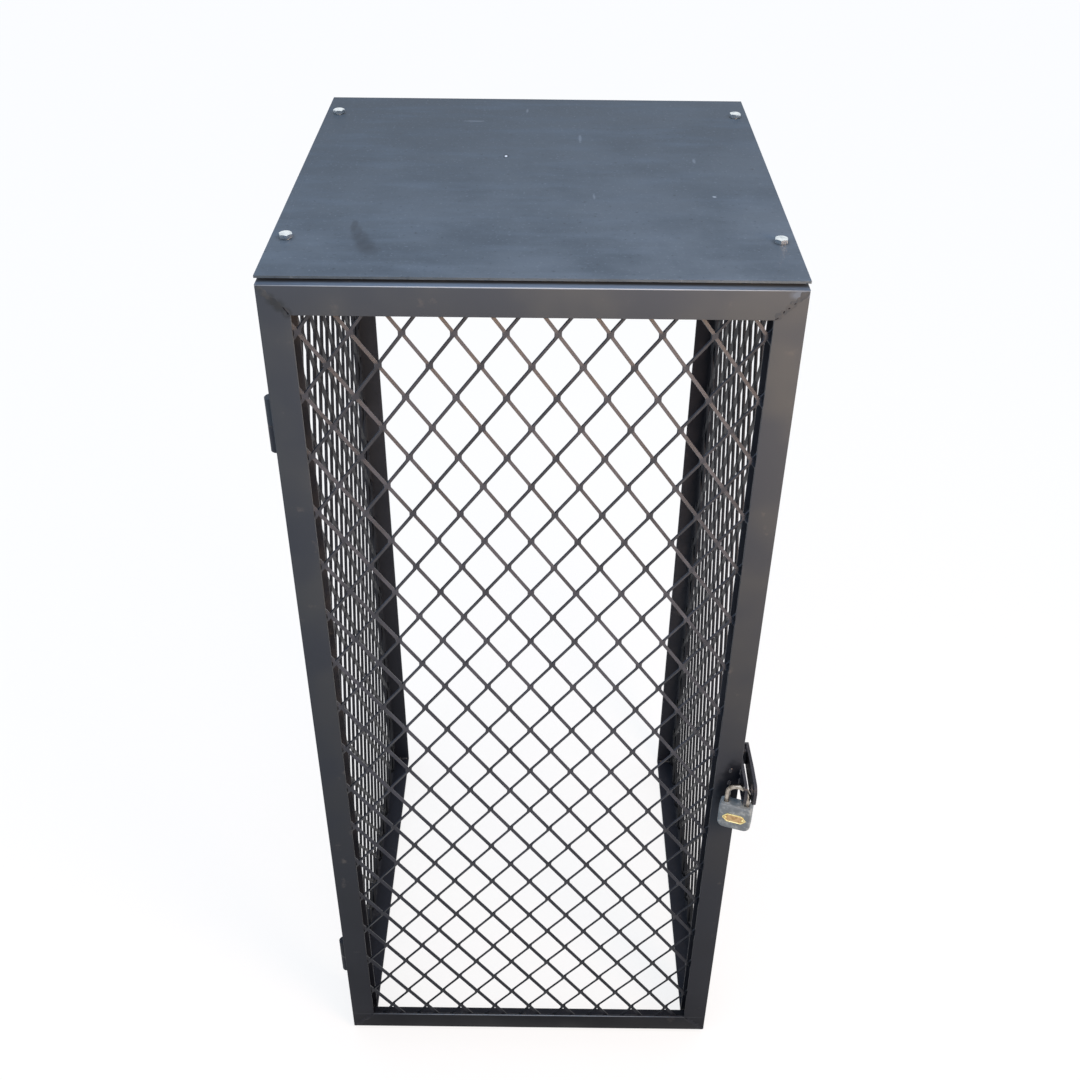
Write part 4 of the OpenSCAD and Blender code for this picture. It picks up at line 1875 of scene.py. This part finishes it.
@dataclass(frozen=True)
class Padlock:
    """The hanging padlock in mm, placed from the middle of its case's top face."""

    top: Point = (206.4517, -225.5, 423.1815)
    yaw: float = -18.0
    width: float = 33.0
    tall: float = 32.5
    thick: float = 13.5
    corners: tuple[float, float, float, float] = (7.0, 7.0, 3.0, 3.0)
    edge: float = 2.5
    leg_x: float = 10.25
    leg_bore: float = 2.8
    bore_depths: Pair = (22.3, 12.3)
    plug_bore: float = 5.05
    plug_top: float = 8.6
    past: float = 2.0
    crease: float = 28.0
    badge: Badge = Badge()
    spring: DogSpring = DogSpring()

    def place(self) -> Matrix:
        """Return where the middle of the case's top face is, turned with the padlock."""
        return moved(*self.top) @ turned(0, 0, self.yaw)

    def case(self) -> None:
        """Build the case, bored for the shackle's legs and the key plug."""
        slab = RoundedSlab(self.width, self.tall, self.thick, self.corners, self.edge)
        place = self.place()
        shape = slab.shape().placed(place @ moved(0, 0, -self.tall / 2) @ turned(90, 0, 0))
        bores = [
            (x, -depth, self.past, self.leg_bore)
            for x, depth in zip((-self.leg_x, self.leg_x), self.bore_depths)
        ]
        bores.append((0.0, -self.tall - self.past, -self.plug_top, self.plug_bore))
        cuts = [
            rod(place @ at(x, 0, low), place @ at(x, 0, high), radius * MM)
            for x, low, high, radius in bores
        ]
        piece = Piece(
            "padlock_case_body", CASE, Body.PADLOCK, Slot.CASE, ("padlock_case",), self.crease
        )
        piece.show(bored(shape_mesh("case", shape), cuts))

    def build(self) -> None:
        """Build the case, badge and spring, and dress the CAD nodes that stay."""
        self.case()
        face = moved(0, -self.thick / 2, -self.tall / 2) @ turned(90, 0, 0)
        self.badge.build(self.place() @ face)
        for node, finish in (
            ("padlock_shackle", CHROME),
            ("padlock_rivets", BADGE_RIM),
            ("padlock_key_plug", TURNED_BRASS),
            ("padlock_dog", GROUND_STEEL),
        ):
            dress(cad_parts[node], finish)
        self.spring.build(self.place())


# Stage


@dataclass(frozen=True)
class Lamp:
    """A soft box."""

    name: str
    spot: Point
    target: Point
    size: float
    watts: float
    colour: str

    def build(self) -> None:
        """Build the lamp, turned to its target."""
        data = bpy.data.lights.new(self.name, "AREA")
        data.shape, data.size = "DISK", self.size
        data.energy, data.color = self.watts, linear(self.colour)[:3]
        lamp = put(self.name, data)
        lamp.location = self.spot
        lamp.rotation_mode = "QUATERNION"
        aim = Vector(self.target) - Vector(self.spot)
        lamp.rotation_quaternion = aim.to_track_quat("-Z", "Y")


@dataclass(frozen=True)
class Stage:
    """The pale floor, the soft light and the camera at the photograph's place, in metres."""

    camera_spot: Point = (0.00877, -1.08594, 1.37324)
    right: Point = (0.999943, 0.007071, 0.008024)
    up: Point = (-0.010650, 0.589791, 0.807486)
    ahead: Point = (-0.000977, 0.807525, -0.589832)
    focal_px: float = 1259.342
    image_px: float = 1080.0
    sensor: float = 36.0
    floor_half: float = 12.0
    floor_drop: float = 0.0005
    floor_tint: str = "#f4eee4"
    floor_shade: str = "#6e6862"
    floor_glow: float = 0.8
    sky_low: str = "#bab7b2"
    sky_high: str = "#d2e2ff"
    sky_span: Pair = (-0.1, 0.9)
    sky_strength: float = 1.5
    lamps: tuple[Lamp, ...] = (
        Lamp("sky_box", (-0.6, -1.2, 3.0), (0.0, 0.0, 0.7), 2.2, 15.0, "#e4eeff"),
        Lamp("warm_box", (0.64, -0.82, 1.08), (0.15, -0.2, 0.85), 0.5, 13.5, "#ffd4b0"),
    )

    def build_camera(self) -> None:
        """Build the camera, with the photograph's focal length and no shift."""
        data = bpy.data.cameras.new("camera")
        data.sensor_width = self.sensor
        data.lens = self.focal_px / self.image_px * self.sensor
        camera = put("camera", data)
        turn = Matrix((self.right, self.up, [-v for v in self.ahead])).transposed()
        camera.matrix_world = Matrix.Translation(self.camera_spot) @ turn.to_4x4()
        bpy.context.scene.camera = camera

    def show_apart(self, tree: Tree, output: str, light: Socket, seen: Socket) -> None:
        """End a tree that looks one way where it is seen, and lights the cage another way.

        Args:
            tree: The tree of the world or the floor.
            output: The kind of its output node.
            light: The shader that lights the cage.
            seen: The shader that the camera sees, straight, in a mirror or through glass.
        """
        path = add_node(tree, "ShaderNodeLightPath").outputs
        share = path["Is Camera Ray"]
        for name in ("Is Glossy Ray", "Is Transmission Ray"):
            share = add_node(
                tree, "ShaderNodeMath", {0: share, 1: path[name]}, operation="MAXIMUM"
            ).outputs[0]
        mix = add_node(tree, "ShaderNodeMixShader", {0: share, 1: light, 2: seen})
        add_node(tree, output, {"Surface": mix.outputs[0]})

    def build_world(self) -> None:
        """Build the world: white where it is seen, and a soft sky where it lights the cage."""
        world = bpy.data.worlds.new("soft_sky")
        bpy.context.scene.world = world
        world.use_nodes = True
        tree = world.node_tree
        tree.nodes.clear()
        way = add_node(tree, "ShaderNodeTexCoord").outputs["Generated"]
        rise = add_node(tree, "ShaderNodeSeparateXYZ", {0: way}).outputs[2]
        inputs = {"Value": rise, "From Min": self.sky_span[0], "From Max": self.sky_span[1]}
        share = add_node(tree, "ShaderNodeMapRange", inputs).outputs[0]
        inputs = {0: share, 6: linear(self.sky_low), 7: linear(self.sky_high)}
        sky = add_node(tree, "ShaderNodeMix", inputs, data_type="RGBA").outputs[2]
        light = add_node(tree, "ShaderNodeBackground", {0: sky, 1: self.sky_strength})
        white = add_node(tree, "ShaderNodeBackground", {0: (1, 1, 1, 1), 1: 1.0})
        self.show_apart(tree, "ShaderNodeOutputWorld", light.outputs[0], white.outputs[0])

    def build_floor(self) -> None:
        """Build the floor: nearly white where it is seen, with a soft shadow."""
        half = self.floor_half
        corners = [(-half, -half, 0), (half, -half, 0), (half, half, 0), (-half, half, 0)]
        mesh = bpy.data.meshes.new("floor")
        mesh.from_pydata(corners, [], [(0, 1, 2, 3)])
        floor = put("floor", mesh)
        floor.location.z = -self.floor_drop
        material = bpy.data.materials.new("pale_floor")
        material.use_nodes = True
        tree = material.node_tree
        tree.nodes.clear()
        tint, shade = (
            add_node(tree, "ShaderNodeBsdfDiffuse", {"Color": linear(code)}).outputs[0]
            for code in (self.floor_tint, self.floor_shade)
        )
        glow = add_node(tree, "ShaderNodeEmission", {0: (1, 1, 1, 1), 1: 1.0}).outputs[0]
        lit = add_node(tree, "ShaderNodeMixShader", {0: self.floor_glow, 1: tint, 2: glow})
        self.show_apart(tree, "ShaderNodeOutputMaterial", shade, lit.outputs[0])
        mesh.materials.append(material)

    def build(self) -> None:
        """Build the whole stage."""
        bpy.context.scene.view_settings.view_transform = "Standard"
        self.build_camera()
        self.build_world()
        self.build_floor()
        for lamp in self.lamps:
            lamp.build()


def main() -> None:
    """Build the stage and then each sub-assembly."""
    logging.basicConfig(level=logging.INFO, format="%(name)s: %(message)s")
    Stage().build()
    for side in Side:
        SideFrame(side).build()
    CrossRails().build()
    DoorFrame().build()
    MeshPanels().build()
    TopSheet().build()
    Hinges().build()
    LockLugs().build()
    Padlock().build()


if __name__ == "__main__":
    main()
